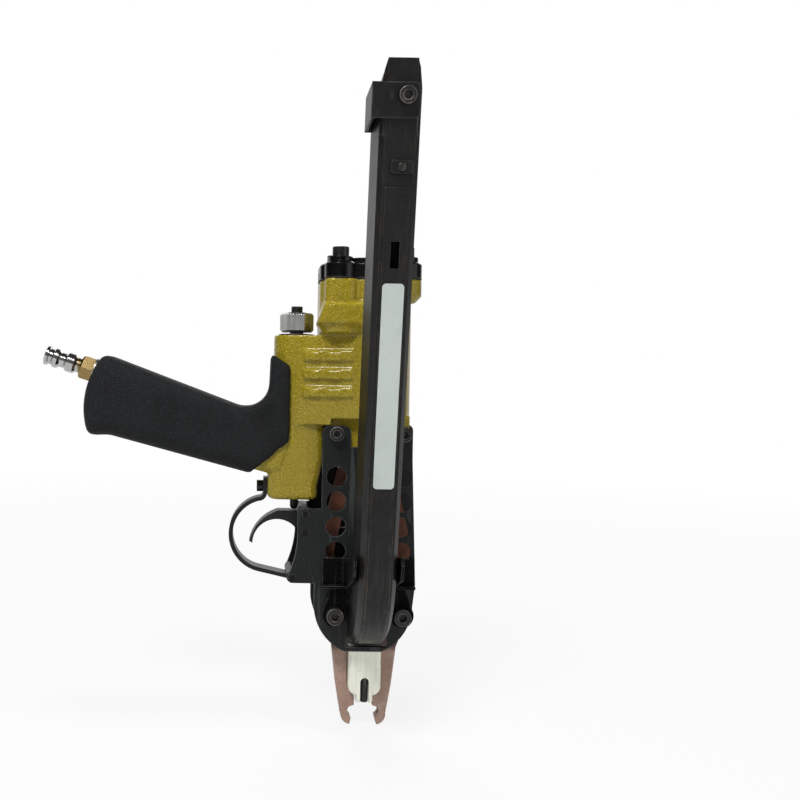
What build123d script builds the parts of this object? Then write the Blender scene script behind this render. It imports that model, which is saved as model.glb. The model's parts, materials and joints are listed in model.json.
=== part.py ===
from build123d import *
import os
from math import atan, cos, pi, radians, sin, sqrt, tan

os.makedirs("parts", exist_ok=True)

# Pneumatic C-ring plier, in millimetres
# X runs across the tool, Y from front to back and Z up the tool
# The origin is the point between the jaw hooks where a ring closes

# Fits
running = 0.05              # radial clearance of a turning or sliding fit
slip = 0.02                 # radial clearance of a piece that is assembled and stays
side_play = 0.4             # gap between flat faces that pass each other
bolt_play = 0.25            # radial clearance of a bolt in a plain hole

# Screws and pins
m4_shank, m4_head, m4_head_high = 2.0, 3.5, 4.0
m5_shank, m5_head, m5_head_high = 2.5, 4.25, 5.0
m6_shank, m6_head, m6_head_high = 3.0, 5.0, 6.0
m6_nut_across, m6_nut_high, thread_end = 10.0, 5.0, 1.5
socket_share = 0.56         # hex socket of a screw, as a share of its head radius and height
plain_pin = 2.0             # radius of the trigger, guard and roller pins

# Side plates
plate_thick = 2.5
plate_gap = 32.0            # clear space between the two plates
plate_half = 28.4
plate_top_right = 25.0
rear_plate_left, rear_plate_right = 34.0, 31.8
notch_half = 11.4
notch_floor = 161.0
tab_corner = 4.0
lobe_x, lobe_z, lobe_radius = -2.6, 66.0, 29.5
nose_z = 38.5                # flat end of the plates above the jaws
window_radius, window_x = 6.0, 19.7
window_first_z, window_pitch, window_count = 98.3, 15.0, 4
plate_bolt_x, plate_bolt_z = 20.2, 169.0
plate_bolt_long = 12.0
wing_top, wing_bottom = 123.7, 79.0
wing_left = 43.0
wing_shoulder = (-42.6, 110.5)
wing_throat = (-43.6, 97.0)  # deepest point of the hollow beside the finger

# Jaws
pivot_x, pivot_z = 20.0, 61.0
jaw_thick = 10.0
jaw_eye = 9.0
jaw_bevel = 1.2
jaw_close = 5.2             # degrees that each jaw turns to close a ring
hook_tip, hook_beak = (8.3, -10.0), (7.5, -6.4)
hook_heel, hook_toe = (11.9, -8.2), (13.8, -4.0)
hook_pocket_top, hook_pocket, hook_pocket_foot = (8.6, 0.7), (9.8, -2.2), (9.2, -4.8)
arm_outer_low, arm_outer_mid, arm_outer_high = (15.0, 2.7), (17.1, 15.1), (19.9, 39.0)
shoulder_x, shoulder_low, shoulder_high = 5.6, 1.8, 6.8
arm_inner, arm_foot_z = 10.4, 17.0
arm_bend = (8.6, 10.9)      # point on the curve from the arm to the shoulder
tail_root = (24.0, 96.0)
tail_root_half, tail_tip_half = 4.6, 4.4
ring_wire = 3.0             # width of the ring track in the jaws
track_deep = 1.5
sleeve_wall, spacer_wall = 3.0, 1.8

# Rollers in the jaw tails
roller_x, roller_z = 12.4, 148.0
roller_radius, roller_wide = 5.0, 5.0
roller_play = 0.3

# Piston and its stroke
stroke = 30.0
deck_z = 261.5              # top face of the casting
bore_radius = 21.0
liner_wall = 2.0
piston_thick = 14.0
top_bumper_thick, bottom_bumper_thick = 5.4, 8.0
bumper_gap = 0.4
bumper_hole = 9.0
seal_high, seal_deep = 4.0, 2.5
rod_radius = 6.0
rod_bush_wall = 3.0
rod_seal_high = 4.0
wedge_thick = 9.0
wedge_over = 4.0            # wedge length above the last roller contact
blade_half, blade_thick = 3.4, 3.0
blade_tip_z = 46.0
blade_tongue = 10.0         # blade length held in the wedge
blade_pin = 1.5

# Body casting
barrel_radius = 26.0
barrel_foot = 178.0
tongue_half, tongue_foot = 24.0, 158.0
flange_high, flange_bevel = 14.0, 4.0
cap_bolt_x = 19.5
cap_lobe = 9.5
duct_left, duct_half, duct_round = 31.0, 15.0, 6.0
duct_radius, duct_z = 2.5, 198.0
column_x, column_radius = -44.3, 13.8
column_foot, shoulder_top = 128.0, 228.0
web_right, web_round = -27.2, 5.0
foot_right = -30.8          # right side of the lower block at its foot
waist_low, waist_high = 136.0, 153.0
step_z = 174.0              # where the swollen body meets the lower block
foot_round = 3.0
guard_boss_left, guard_boss_round = -61.0, 8.0
guard_screw_z, guard_screw_long = 135.0, 10.0
pad_left, pad_right, pad_front = -30.0, -2.0, 30.5
pad_low, pad_swell, pad_high = 229.0, 235.0, 248.0
pad_flare = 3.0             # how much wider the pad is at its swell than at its top
rib_count, rib_first_z, rib_pitch = 3, 190.5, 11.0
rib_high, rib_proud, rib_slope = 7.0, 1.5, 1.3
rib_left, rib_right = -40.5, -11.5
rib_knobs = ((-36.7, -31.6), (-26.8, -18.7))   # left and right ends of the raised stretches
knob_proud, knob_inset = 2.3, 1.2

# Handle and grip, along an axis that rises to the left
handle_x, handle_z, handle_rise = -80.0, 165.0, 17.3
handle_taper = 3.1
grip_half_deep, grip_half_wide = 19.0, 17.5
grip_wall = 3.0
grip_crown, grip_end, grip_heel, grip_lip = (93.0, 23.4), (97.2, 2.0), (87.0, -27.2), (75.0, -22.8)
grip_round = 9.0
grip_corner, grip_bevel = 5.0, 2.0
collar_root_z = 160.0       # where the collar springs from the sleeve
core_round = 6.0
collar_heel, collar_throat, collar_neck = (-78.0, 184.6), (-65.2, 188.0), (-60.6, 198.0)
collar_peak, collar_toe = (-60.0, 216.6), (-72.0, 143.4)
collar_right, collar_top, collar_low = -48.2, 209.5, 163.0
core_start, core_end = -30.0, 84.0
plug_offset = 11.2
passage_offset, passage_radius = 8.0, 4.0

# Air inlet
bush_thread, bush_flange = 6.6, 8.0
bush_thread_long, bush_flange_long = 14.0, 13.0
plug_hex, plug_hex_long = 14.0, 8.3
plug_radius, plug_long, plug_bore = 6.0, 23.3, 3.5
plug_neck, plug_groove, plug_bevel = 4.6, 4.9, 1.0
# distance from the hex and radius along the plug: two rings, a groove and the end ring
plug_profile = (
    (3.0, plug_neck), (4.5, plug_radius), (9.0, plug_radius), (10.5, plug_neck), (13.5, plug_neck),
    (15.0, plug_radius), (17.5, plug_radius), (18.5, plug_groove), (20.5, plug_groove),
    (21.2, plug_radius), (22.7, plug_radius), (plug_long, plug_groove),
)

# Cylinder cap
gasket_thick = 0.8
cap_base_high, cap_top_high = 9.4, 3.0
cap_disc, cap_boss = 21.0, 7.3
cap_bolt_long = 24.0
cap_bevel = 1.2

# Exhaust set on the shoulder
washer_radius, washer_thick = 11.0, 1.0
stud_radius, stud_above, stud_below = 4.15, 6.0, 10.0
deflector_across, deflector_high = 18.0, 12.0
deflector_lift = 1.2        # air gap between washer and deflector
deflector_turn = -5.0       # degrees

# Valve below the shoulder
valve_bore, column_roof = 8.0, 14.0
spool_radius, stem_radius = 4.9, 2.5
stem_gap = 0.3              # free play between trigger and valve stem
valve_floor, spool_rest = 5.0, 9.0
valve_spring_long, valve_spring_wall = 21.0, 0.9

# Trigger and guard
trigger_x, trigger_z = -38.1, 120.2
stop_pin_z = 109.4
trigger_hub = 4.0
trigger_wide = 12.0
trigger_top = 120.6
guard_pin_x, guard_pin_z = -45.3, 82.2
guard_thick, guard_wide = 2.5, 12.0
guard_eye, guard_top = 3.6, 140.5
guard_bend, guard_bend_z = 4.0, 131.5
guard_bow, guard_sole = (-83.0, 107.0), (-66.0, 84.4)
trigger_heel, trigger_back = (-36.0, 116.5), -54.0
trigger_knuckle, trigger_tip, trigger_toe = (-65.4, 113.4), (-71.6, 101.6), (-69.6, 100.4)
trigger_pad, trigger_root = (-60.2, 114.2), (-43.4, 110.2)

# Magazine, measured along its own lean from the start of the bend
lean = 12.4
bend_z, bend_outer = 102.5, 60.0
front_half, shoulder_half, back_half = 7.7, 10.2, 12.0
corner_deep = 3.5           # depth of the slanted corner between front face and side wall
channel_deep, sheet = 22.0, 1.2
channel_long = 274.5
end_taper_long, end_half = 12.0, 7.4
band_half, band_proud = 6.5, 0.8
slot_half, slot_low, slot_high = 2.25, 172.6, 186.2
label_half, label_low, label_high, label_thick = 5.6, 55.0, 165.0, 0.4
label_corner = 2.0
rail_half, rail_near, rail_far = 3.7, 5.0, 13.0
rail_web = 2.0
pad_x, pad_half_wide, pad_half_high, pad_proud = 1.3, 6.2, 4.0, 1.5
rivet_radius, pad_draft = 1.9, 25.0
pusher_low, pusher_high = 10.0, 44.0
pusher_tab_half, pusher_tab_out, pusher_tab_long = 3.0, 5.0, 12.0
clip_tall, clip_sheet, clip_deep = 17.2, 1.6, 26.0
clip_left, clip_right, clip_corner = -15.0, 9.0, 3.0
clip_bolt_x, clip_bolt_rise = 2.0, 10.8
# distances below the upper end of the channel
clip_drop, rail_drop, wall_drop, pad_drop, band_drop = 11.3, 12.2, 36.5, 51.6, 61.5
strip_half, strip_thick, roll_radius = 3.0, 0.4, 2.4

# Magazine bracket on the front plate
bracket_sheet = 2.5
bracket_half, bracket_low, bracket_high = 27.5, 77.5, 95.0
bracket_notch_top = 86.0
bracket_lug, lug_neck = 7.4, 22.0
lip_out, lip_thick = 4.0, 1.5
# cheeks beside the bend, as (y, z) points
ear_thick, ear_rear_top = 1.5, 92.0
ear_peak, ear_nose, ear_chin = (-62.0, 104.0), (-67.0, 100.0), (-63.0, 91.0)

# Ring guide in front of the jaws
guide_half, guide_thick = 9.95, 6.0
guide_top, guide_knee, guide_foot = 41.0, 15.5, 5.6
guide_prong_half, guide_prong_top = 5.2, 9.2
guide_bend = (8.6, 11.2)    # point on the curve from the side to the prong
guide_slot_half, guide_slot_top = 2.6, 20.3
finger_radius, finger_foot, finger_top = 2.25, 5.4, 36.0
guide_round = 2.5

# Jaw return spring behind the tails
post_x, post_z, post_radius, post_seat = 19.0, 112.0, 2.0, 8.0
spring_y = 9.5
spring_wire, spring_radius, spring_turns, spring_pitch = 1.2, 3.2, 5, 3.36

# Values worked out from the sizes above
plate_in = plate_gap / 2
plate_out = plate_in + plate_thick
plate_top = step_z - side_play
jaw_half = jaw_thick / 2
jaw_side = jaw_half + side_play
sleeve_radius = m6_shank + sleeve_wall
turn = radians(jaw_close)
roller_arm_x, roller_arm_z = roller_x - pivot_x, roller_z - pivot_z
roller_shift = roller_arm_x * (cos(turn) - 1) + roller_arm_z * sin(turn)
roller_lift = roller_arm_z * (cos(turn) - 1) - roller_arm_x * sin(turn)
wedge_slope = roller_shift / (stroke + roller_lift)
wedge_at_roller = roller_x - (roller_radius + roller_play) / cos(atan(wedge_slope))
wedge_foot = roller_z - (wedge_at_roller - blade_half) / wedge_slope
wedge_top = roller_z + roller_lift + stroke + wedge_over
wedge_top_half = blade_half + (wedge_top - wedge_foot) * wedge_slope
cap_seat = deck_z + gasket_thick
piston_top = cap_seat - top_bumper_thick - bumper_gap
piston_foot = piston_top - piston_thick
floor_z = piston_foot - stroke - bumper_gap - bottom_bumper_thick
liner_radius = bore_radius + liner_wall
duct_x = -(liner_radius + duct_left) / 2
bush_foot = wedge_top + 2 * side_play
bush_radius = rod_radius + rod_bush_wall
cap_top = cap_seat + cap_base_high + cap_top_high
spool_bore = spool_radius + running
stem_foot = trigger_top + stem_gap
valve_top = shoulder_top - column_roof
sleeve_floor = column_foot + valve_floor
spring_seat = valve_top - valve_floor
spool_foot = sleeve_floor + spool_rest
spool_top = spring_seat - valve_spring_long
bend_y = -jaw_side
bend_turn = 90 - lean
clip_high = channel_long - clip_drop
clip_low = clip_high - clip_tall
clip_bolt_s = clip_low + clip_bolt_rise
rail_top = channel_long - rail_drop
wall_long = channel_long - wall_drop
pad_s = channel_long - pad_drop
band_long = channel_long - band_drop
bracket_notch_half = back_half + side_play

# Planes
mag_plane = Plane((0, bend_y, bend_z), (1, 0, 0), (0, -sin(radians(lean)), cos(radians(lean))))
bend_axis = Axis((0, bend_y, bend_z), (1, 0, 0))
rise = radians(handle_rise)
handle_plane = Plane((handle_x, 0, handle_z), (-cos(rise), 0, sin(rise)), (0, 1, 0))


def facing_front(y):
    """Plane across the tool at depth y, seen from the front, whose normal points at the viewer."""
    return Plane.XZ.offset(-y)


def mag_front(depth):
    """Plane along the magazine, a depth behind its front face, whose normal points out of that face."""
    origin = mag_plane.from_local_coords((0, depth - bend_outer, 0))
    return Plane(origin, (1, 0, 0), -mag_plane.y_dir)


def along_handle(u, v):
    """Plane square to the handle, u along its axis and v above it, facing the free end."""
    return Plane(handle_plane.from_local_coords((u, v, 0)), (0, 1, 0), handle_plane.x_dir)


def add_screw(seat, head, head_high, shank, length):
    """Socket head screw: its head stands on the seat plane and its shank runs down behind it."""
    with BuildSketch(seat) as head_disc:
        Circle(head)
    extrude(head_disc.sketch, amount=head_high)
    with BuildSketch(seat) as shank_disc:
        Circle(shank)
    extrude(shank_disc.sketch, amount=-length)
    with BuildSketch(seat.offset(head_high)) as socket:
        RegularPolygon(head * socket_share, 6)
    extrude(socket.sketch, amount=-head_high * socket_share, mode=Mode.SUBTRACT)


def add_pin(seat, radius, length):
    """Round pin that starts on the seat plane."""
    with BuildSketch(seat) as disc:
        Circle(radius)
    extrude(disc.sketch, amount=length)


def add_tube(foot, outer, inner, high):
    """Upright ring between two radii."""
    with BuildSketch(foot) as ring:
        Circle(outer)
        Circle(inner, mode=Mode.SUBTRACT)
    extrude(ring.sketch, amount=high)


def save(builder, name):
    """Label one finished piece and write it out."""
    builder.part.label = name
    export_step(builder.part, f"parts/{name}.step")


def add_biarcs(stations):
    """Join stations, each a point with its direction of travel, by pairs of tangent arcs."""
    for (start, leave), (end, arrive) in zip(stations, stations[1:]):
        span = end - start
        square = 2 * (1 - leave.dot(arrive))
        linear = 2 * span.dot(leave + arrive)
        root = sqrt(linear * linear + 4 * square * span.dot(span))
        reach = 2 * span.dot(span) / (linear + root)
        first = start + leave * reach
        last = end - arrive * reach
        middle = (first + last) * 0.5
        TangentArc(start, middle, tangent=leave)
        TangentArc(middle, end, tangent=last - first)


def helix_stations(centre, axis, side, radius, pitch, turns):
    """Quarter-turn stations of a helix that winds about axis, starting on its side direction."""
    other = axis.cross(side)
    stations = []
    for quarter in range(4 * turns + 1):
        angle = radians(90 * quarter)
        spoke = side * cos(angle) + other * sin(angle)
        ahead = other * cos(angle) - side * sin(angle)
        point = centre + spoke * radius + axis * (pitch * quarter / 4)
        stations.append((point, (ahead + axis * (pitch / (2 * pi * radius))).normalized()))
    return stations


def least_gap(stations, wire):
    """Least clear space between points of a wire path that are a half turn or more apart."""
    points = [station[0] for station in stations]
    pairs = [(a - b).length for i, a in enumerate(points) for b in points[i + 3:]]
    return min(pairs) - wire


# Body casting: barrel, flange, duct, valve column, lower block, tongue, ribs and handle core
def lobed_outline(inset=0):
    """Round disc with a lobe at each cap bolt and an ear over the air duct."""
    Circle(barrel_radius - inset)
    with GridLocations(2 * cap_bolt_x, 2 * cap_bolt_x, 2, 2):
        Circle(cap_lobe - inset)
    with Locations((-duct_left / 2, 0)):
        RectangleRounded(duct_left - 2 * inset, 2 * (duct_half - inset), duct_round)


core_half_start = grip_half_deep + core_start * tan(radians(handle_taper)) - grip_wall
core_half_end = grip_half_deep + core_end * tan(radians(handle_taper)) - grip_wall

def pad_section(z, wider, deep):
    """Section of the front pad, widened to the left, between the barrel's middle and a depth."""
    left = pad_left - wider
    with BuildSketch(Plane.XY.offset(z)) as section:
        with Locations(((left + pad_right) / 2, -deep / 2)):
            RectangleRounded(pad_right - left, deep, duct_round)
    return section.sketch


with BuildPart() as front_pad:
    pad_edge = pad_high - knob_proud
    loft([pad_section(pad_low, 0, barrel_radius), pad_section(pad_swell, pad_flare, pad_front)], ruled=True)
    loft([pad_section(pad_swell, pad_flare, pad_front), pad_section(pad_edge, 0, pad_front)], ruled=True)
    loft([pad_section(pad_edge, 0, pad_front), pad_section(pad_high, 0, barrel_radius)], ruled=True)


def body_plan(swell=0):
    """Plan of the body: one skin drawn round the valve column and the barrel."""
    with BuildSketch() as rounds:
        with Locations((column_x, 0)):
            Circle(column_radius + swell)
        Circle(barrel_radius + swell)
    make_hull(rounds.edges())


def rib_section(z, left, right, proud):
    """Section of a finger rib: the body's plan swollen by its height and cut to its width."""
    with BuildSketch(Plane.XY.offset(z)) as section:
        body_plan(proud)
        with Locations(((left + right) / 2, 0)):
            Rectangle(right - left, 4 * barrel_radius, mode=Mode.INTERSECT)
    return section.sketch


def add_rib(foot, high, left, right, proud):
    """Band round the front and back of the body, with a sloping upper edge."""
    edge = foot + high - rib_slope
    extrude(rib_section(foot, left, right, proud), amount=high - rib_slope)
    loft([rib_section(edge, left, right, proud), rib_section(foot + high, left, right, proud - rib_slope)],
         ruled=True)


with BuildPart() as finger_ribs:
    for index in range(rib_count):
        rib_foot = rib_first_z + index * rib_pitch
        add_rib(rib_foot, rib_high, rib_left, rib_right, rib_proud)
        for left, right in rib_knobs:
            add_rib(rib_foot, rib_high - knob_inset, left, right, knob_proud)

with BuildPart() as handle_core:
    with BuildSketch(handle_plane):
        with BuildLine():
            Polyline(
                (core_start, -core_half_start),
                (core_end, -core_half_end),
                (core_end, core_half_end),
                (core_start, core_half_start),
                close=True,
            )
        make_face()
    extrude(amount=grip_half_wide - grip_wall, both=True)
    fillet(faces().filter_by(Axis.Y).edges().filter_by(lambda e: e.length > core_end), core_round)


def block_section(z, corner_x, corner_round):
    """Section of a block: a skin round the valve column and two corners beside it."""
    with BuildSketch() as rounds:
        with Locations((column_x, 0)):
            Circle(column_radius)
        with Locations((corner_x, 0)):
            with GridLocations(0, 2 * (column_radius - corner_round), 1, 2):
                Circle(corner_round)
    with BuildSketch(Plane.XY.offset(z)) as section:
        make_hull(rounds.edges())
    return section.sketch


with BuildPart() as guard_boss:
    boss_corner = guard_boss_left + guard_boss_round
    extrude(block_section(column_foot, boss_corner, guard_boss_round), amount=collar_low - column_foot)
    # the boss ends on the slant where the grip begins
    with BuildSketch(facing_front(-column_radius)):
        with BuildLine():
            Polyline(collar_toe, (collar_right, collar_low), (collar_toe[0], collar_low), close=True)
        make_face()
    extrude(amount=-2 * column_radius, mode=Mode.SUBTRACT)

with BuildPart() as body_casting:
    # barrel, and a flange whose bolt lobes run out below in cones
    with BuildSketch(Plane.XY.offset(barrel_foot)):
        Circle(barrel_radius)
    extrude(amount=deck_z - barrel_foot)
    with BuildSketch(Plane.XY.offset(deck_z - flange_high)):
        with GridLocations(2 * cap_bolt_x, 2 * cap_bolt_x, 2, 2):
            Circle(cap_lobe - flange_bevel)
    extrude(amount=flange_bevel, taper=-45)
    with BuildSketch(Plane.XY.offset(deck_z - flange_high + flange_bevel)):
        lobed_outline()
    extrude(amount=flange_high - flange_bevel)
    # the left lobes run down the barrel as one block
    with BuildSketch(Plane.XY.offset(pad_low)):
        with Locations((-cap_bolt_x, 0)):
            RectangleRounded(2 * cap_lobe, 2 * (cap_bolt_x + cap_lobe - side_play), duct_round)
    extrude(amount=deck_z - pad_low)
    # air duct on the left of the barrel
    with BuildSketch(Plane.XY.offset(barrel_foot)):
        with Locations((-duct_left / 2, 0)):
            RectangleRounded(duct_left, 2 * duct_half, duct_round)
    extrude(amount=deck_z - barrel_foot)
    # raised pad at the front of the barrel and finger ribs on both faces
    add(front_pad.part)
    add(finger_ribs.part)
    # smooth body round the valve column and the barrel, cut back above the side plates
    with BuildSketch(Plane.XY.offset(barrel_foot)):
        body_plan()
    extrude(amount=shoulder_top - barrel_foot)
    with BuildSketch(Plane.XY.offset(step_z)):
        body_plan()
        with Locations((-tongue_half - barrel_radius, 0)):
            Rectangle(2 * barrel_radius, 2 * barrel_radius, mode=Mode.INTERSECT)
    extrude(amount=barrel_foot - step_z)
    # lower block with the valve column, and the boss for the guard screw
    foot_corner, web_corner = foot_right - web_round, web_right - web_round
    extrude(block_section(column_foot, foot_corner, web_round), amount=waist_low - column_foot)
    loft([block_section(waist_low, foot_corner, web_round), block_section(waist_high, web_corner, web_round)],
         ruled=True)
    extrude(block_section(waist_high, web_corner, web_round), amount=step_z - waist_high)
    add(guard_boss.part)
    fillet(edges().group_by(Axis.Z)[0], foot_round)
    # tongue between the side plates
    with BuildSketch(Plane.XY.offset(tongue_foot)):
        Rectangle(2 * tongue_half, plate_gap)
    extrude(amount=barrel_foot - tongue_foot + plate_thick)
    # handle core inside the grip
    add(handle_core.part)
    # cylinder bore, rod bush seat and wedge chamber
    with BuildSketch(Plane.XY.offset(floor_z)):
        Circle(liner_radius + slip)
    extrude(amount=deck_z - floor_z, mode=Mode.SUBTRACT)
    with BuildSketch(Plane.XY.offset(bush_foot)):
        Circle(bush_radius + slip)
    extrude(amount=floor_z - bush_foot, mode=Mode.SUBTRACT)
    with BuildSketch(Plane.XY.offset(tongue_foot)):
        Rectangle(2 * (wedge_top_half + 2 * side_play), 2 * (rod_radius + side_play))
    extrude(amount=bush_foot - tongue_foot, mode=Mode.SUBTRACT)
    # valve bore, stud thread and duct holes
    with BuildSketch(Plane.XY.offset(column_foot)):
        with Locations((column_x, 0)):
            Circle(valve_bore + slip)
    extrude(amount=valve_top - column_foot, mode=Mode.SUBTRACT)
    with BuildSketch(Plane.XY.offset(shoulder_top)):
        with Locations((column_x, 0)):
            Circle(stud_radius + slip)
    extrude(amount=valve_top - shoulder_top, mode=Mode.SUBTRACT)
    with BuildSketch(Plane.XY.offset(duct_z)):
        with Locations((duct_x, 0)):
            Circle(duct_radius)
    extrude(amount=deck_z - duct_z, mode=Mode.SUBTRACT)
    with BuildSketch(Plane.YZ.offset(column_x)):
        with Locations((0, duct_z)):
            Circle(duct_radius)
    extrude(amount=duct_x - column_x, mode=Mode.SUBTRACT)
    # air passage through the handle, threaded at its end
    with BuildSketch(along_handle(core_end, passage_offset)):
        Circle(passage_radius)
    extrude(amount=core_start - core_end, mode=Mode.SUBTRACT)
    with BuildSketch(along_handle(core_end, plug_offset)):
        Circle(bush_thread + slip)
    extrude(amount=-bush_thread_long, mode=Mode.SUBTRACT)
    # threaded holes
    with BuildSketch(Plane.XY.offset(deck_z)):
        with GridLocations(2 * cap_bolt_x, 2 * cap_bolt_x, 2, 2):
            Circle(m6_shank + slip)
    extrude(amount=-flange_high, mode=Mode.SUBTRACT)
    with BuildSketch(facing_front(-plate_in)):
        with GridLocations(2 * plate_bolt_x, 0, 2, 1):
            with Locations((0, plate_bolt_z)):
                Circle(m5_shank + slip)
    extrude(amount=-plate_gap, mode=Mode.SUBTRACT)
    with BuildSketch(Plane.YZ.offset(guard_boss_left)):
        with Locations((0, guard_screw_z)):
            Circle(m4_shank + slip)
    extrude(amount=guard_screw_long - guard_thick, mode=Mode.SUBTRACT)
save(body_casting, "body_casting")


# Rubber grip: a rounded sleeve along the handle and a collar that clasps the valve column
grip_half_start = grip_half_deep + core_start * tan(radians(handle_taper))

with BuildPart() as grip_collar:
    with BuildSketch(facing_front(-grip_half_wide)):
        with BuildLine():
            ThreePointArc(collar_heel, collar_throat, collar_neck)
            Polyline(
                collar_neck,
                collar_peak,
                (collar_right, collar_top),
                (collar_right, collar_root_z),
                (collar_heel[0], collar_root_z),
                collar_heel,
            )
        make_face()
    extrude(amount=-2 * grip_half_wide)
    rim = faces().filter_by(Axis.Y).edges()
    chamfer(rim.filter_by(lambda e: e.center().Z > collar_heel[1] and e.center().X > collar_heel[0]
                          and e.center().X < collar_right - grip_bevel), grip_bevel)

with BuildPart() as handle_grip:
    with BuildSketch(handle_plane):
        with BuildLine():
            Polyline(
                grip_crown,
                (core_start, grip_half_start),
                (core_start, -grip_half_start),
                grip_lip,
                grip_heel,
            )
            ThreePointArc(grip_heel, grip_end, grip_crown)
        make_face()
        fillet(vertices().sort_by(Axis.X)[-2:], grip_corner)
    extrude(amount=grip_half_wide, both=True)
    fillet(faces().filter_by(Axis.Y).edges().filter_by(lambda e: e.center().X < collar_right), grip_round)
    add(grip_collar.part)
    # the sleeve ends on a slant under the collar and square beside the body
    with BuildSketch(facing_front(-grip_half_wide)):
        with BuildLine():
            Polyline(
                collar_toe,
                (collar_right, collar_low),
                (collar_right, shoulder_top),
                (0, shoulder_top),
                (0, column_foot),
                (collar_toe[0], column_foot),
                close=True,
            )
        make_face()
    extrude(amount=-2 * grip_half_wide, mode=Mode.SUBTRACT)
    # room for the casting's core, its valve column and the inlet bush
    add(handle_core.part, mode=Mode.SUBTRACT)
    with BuildSketch(Plane.XY.offset(column_foot)):
        with Locations((column_x, 0)):
            Circle(column_radius)
    extrude(amount=shoulder_top - column_foot, mode=Mode.SUBTRACT)
    with BuildSketch(along_handle(core_end, plug_offset)):
        Circle(bush_flange + slip)
    extrude(amount=2 * bush_flange_long, mode=Mode.SUBTRACT)
save(handle_grip, "handle_grip")


# Air inlet
with BuildPart() as inlet_bush:
    add_pin(along_handle(core_end, plug_offset), bush_flange, bush_flange_long)
    add_pin(along_handle(core_end, plug_offset), bush_thread, -bush_thread_long)
    with BuildSketch(along_handle(core_end + bush_flange_long, plug_offset)):
        Circle(plug_neck + slip)
    extrude(amount=-bush_flange_long - bush_thread_long, mode=Mode.SUBTRACT)
save(inlet_bush, "inlet_bush")

plug_start = core_end + bush_flange_long
hex_end = plug_start + plug_hex_long
with BuildPart() as air_plug:
    with BuildSketch(along_handle(plug_start, plug_offset)):
        RegularPolygon(plug_hex / 2, 6, major_radius=False)
    extrude(amount=plug_hex_long)
    chamfer(faces().sort_by(Axis.X)[0].edges(), plug_bevel)
    add_pin(along_handle(plug_start, plug_offset), plug_neck, -bush_flange_long)
    with BuildSketch(handle_plane):
        with BuildLine():
            Polyline(
                (hex_end, plug_offset),
                (hex_end, plug_offset + plug_neck),
                *[(hex_end + along, plug_offset + radius) for along, radius in plug_profile],
                (hex_end + plug_long, plug_offset),
                close=True,
            )
        make_face()
    revolve(axis=Axis(handle_plane.from_local_coords((0, plug_offset, 0)), handle_plane.x_dir))
    with BuildSketch(along_handle(hex_end + plug_long, plug_offset)):
        Circle(plug_bore)
    extrude(amount=-plug_long - plug_hex_long - bush_flange_long, mode=Mode.SUBTRACT)
save(air_plug, "air_plug")


# Cylinder: liner, bumpers, gasket, cap and bolts
with BuildPart() as cylinder_liner:
    add_tube(Plane.XY.offset(floor_z), liner_radius, bore_radius, deck_z - floor_z)
save(cylinder_liner, "cylinder_liner")

with BuildPart() as bottom_bumper:
    add_tube(Plane.XY.offset(floor_z), bore_radius - side_play, bumper_hole, bottom_bumper_thick)
save(bottom_bumper, "bottom_bumper")

with BuildPart() as top_bumper:
    add_tube(Plane.XY.offset(cap_seat), bore_radius - side_play, bumper_hole, -top_bumper_thick)
save(top_bumper, "top_bumper")

with BuildPart() as cap_gasket:
    with BuildSketch(Plane.XY.offset(deck_z)):
        lobed_outline()
        Circle(bore_radius, mode=Mode.SUBTRACT)
        with Locations((duct_x, 0)):
            Circle(duct_radius, mode=Mode.SUBTRACT)
        with GridLocations(2 * cap_bolt_x, 2 * cap_bolt_x, 2, 2):
            Circle(m6_shank + bolt_play, mode=Mode.SUBTRACT)
    extrude(amount=gasket_thick)
save(cap_gasket, "cap_gasket")

with BuildPart() as cylinder_cap:
    with BuildSketch(Plane.XY.offset(cap_seat)):
        lobed_outline()
    extrude(amount=cap_base_high - cap_bevel)
    with BuildSketch(Plane.XY.offset(cap_seat + cap_base_high - cap_bevel)):
        lobed_outline()
    with BuildSketch(Plane.XY.offset(cap_seat + cap_base_high)):
        lobed_outline(cap_bevel)
    loft(ruled=True)
    with BuildSketch(Plane.XY.offset(cap_seat + cap_base_high)):
        Circle(cap_disc)
        with GridLocations(2 * cap_bolt_x, 2 * cap_bolt_x, 2, 2):
            Circle(cap_boss)
    extrude(amount=cap_top_high)
    with BuildSketch(Plane.XY.offset(cap_top)):
        with GridLocations(2 * cap_bolt_x, 2 * cap_bolt_x, 2, 2):
            Circle(m6_shank + bolt_play)
    extrude(amount=-cap_base_high - cap_top_high, mode=Mode.SUBTRACT)
    # air channel in the underside, from the duct to the bore
    with BuildSketch(Plane.XY.offset(cap_seat)):
        with Locations(((duct_x - bore_radius) / 2, 0)):
            SlotOverall(-duct_x, 2 * duct_radius)
    extrude(amount=cap_base_high / 2, mode=Mode.SUBTRACT)
save(cylinder_cap, "cylinder_cap")

with BuildPart() as cap_bolts:
    for spot in GridLocations(2 * cap_bolt_x, 2 * cap_bolt_x, 2, 2).locations:
        seat = Plane((spot.position.X, spot.position.Y, cap_top))
        add_screw(seat, m6_head, m6_head_high, m6_shank, cap_bolt_long)
save(cap_bolts, "cap_bolts")


# Piston, rod and what the rod drives
piston_radius = bore_radius - side_play
spigot = rod_radius / 2
seal_z = piston_foot + (piston_thick - seal_high) / 2

with BuildPart() as piston:
    add_tube(Plane.XY.offset(piston_foot), piston_radius, spigot + slip, piston_thick)
    with BuildSketch(Plane.XY.offset(seal_z)):
        Circle(piston_radius)
        Circle(piston_radius - seal_deep, mode=Mode.SUBTRACT)
    extrude(amount=seal_high, mode=Mode.SUBTRACT)
save(piston, "piston")

with BuildPart() as piston_seal:
    add_tube(Plane.XY.offset(seal_z), bore_radius - running, piston_radius - seal_deep, seal_high)
save(piston_seal, "piston_seal")

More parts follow.
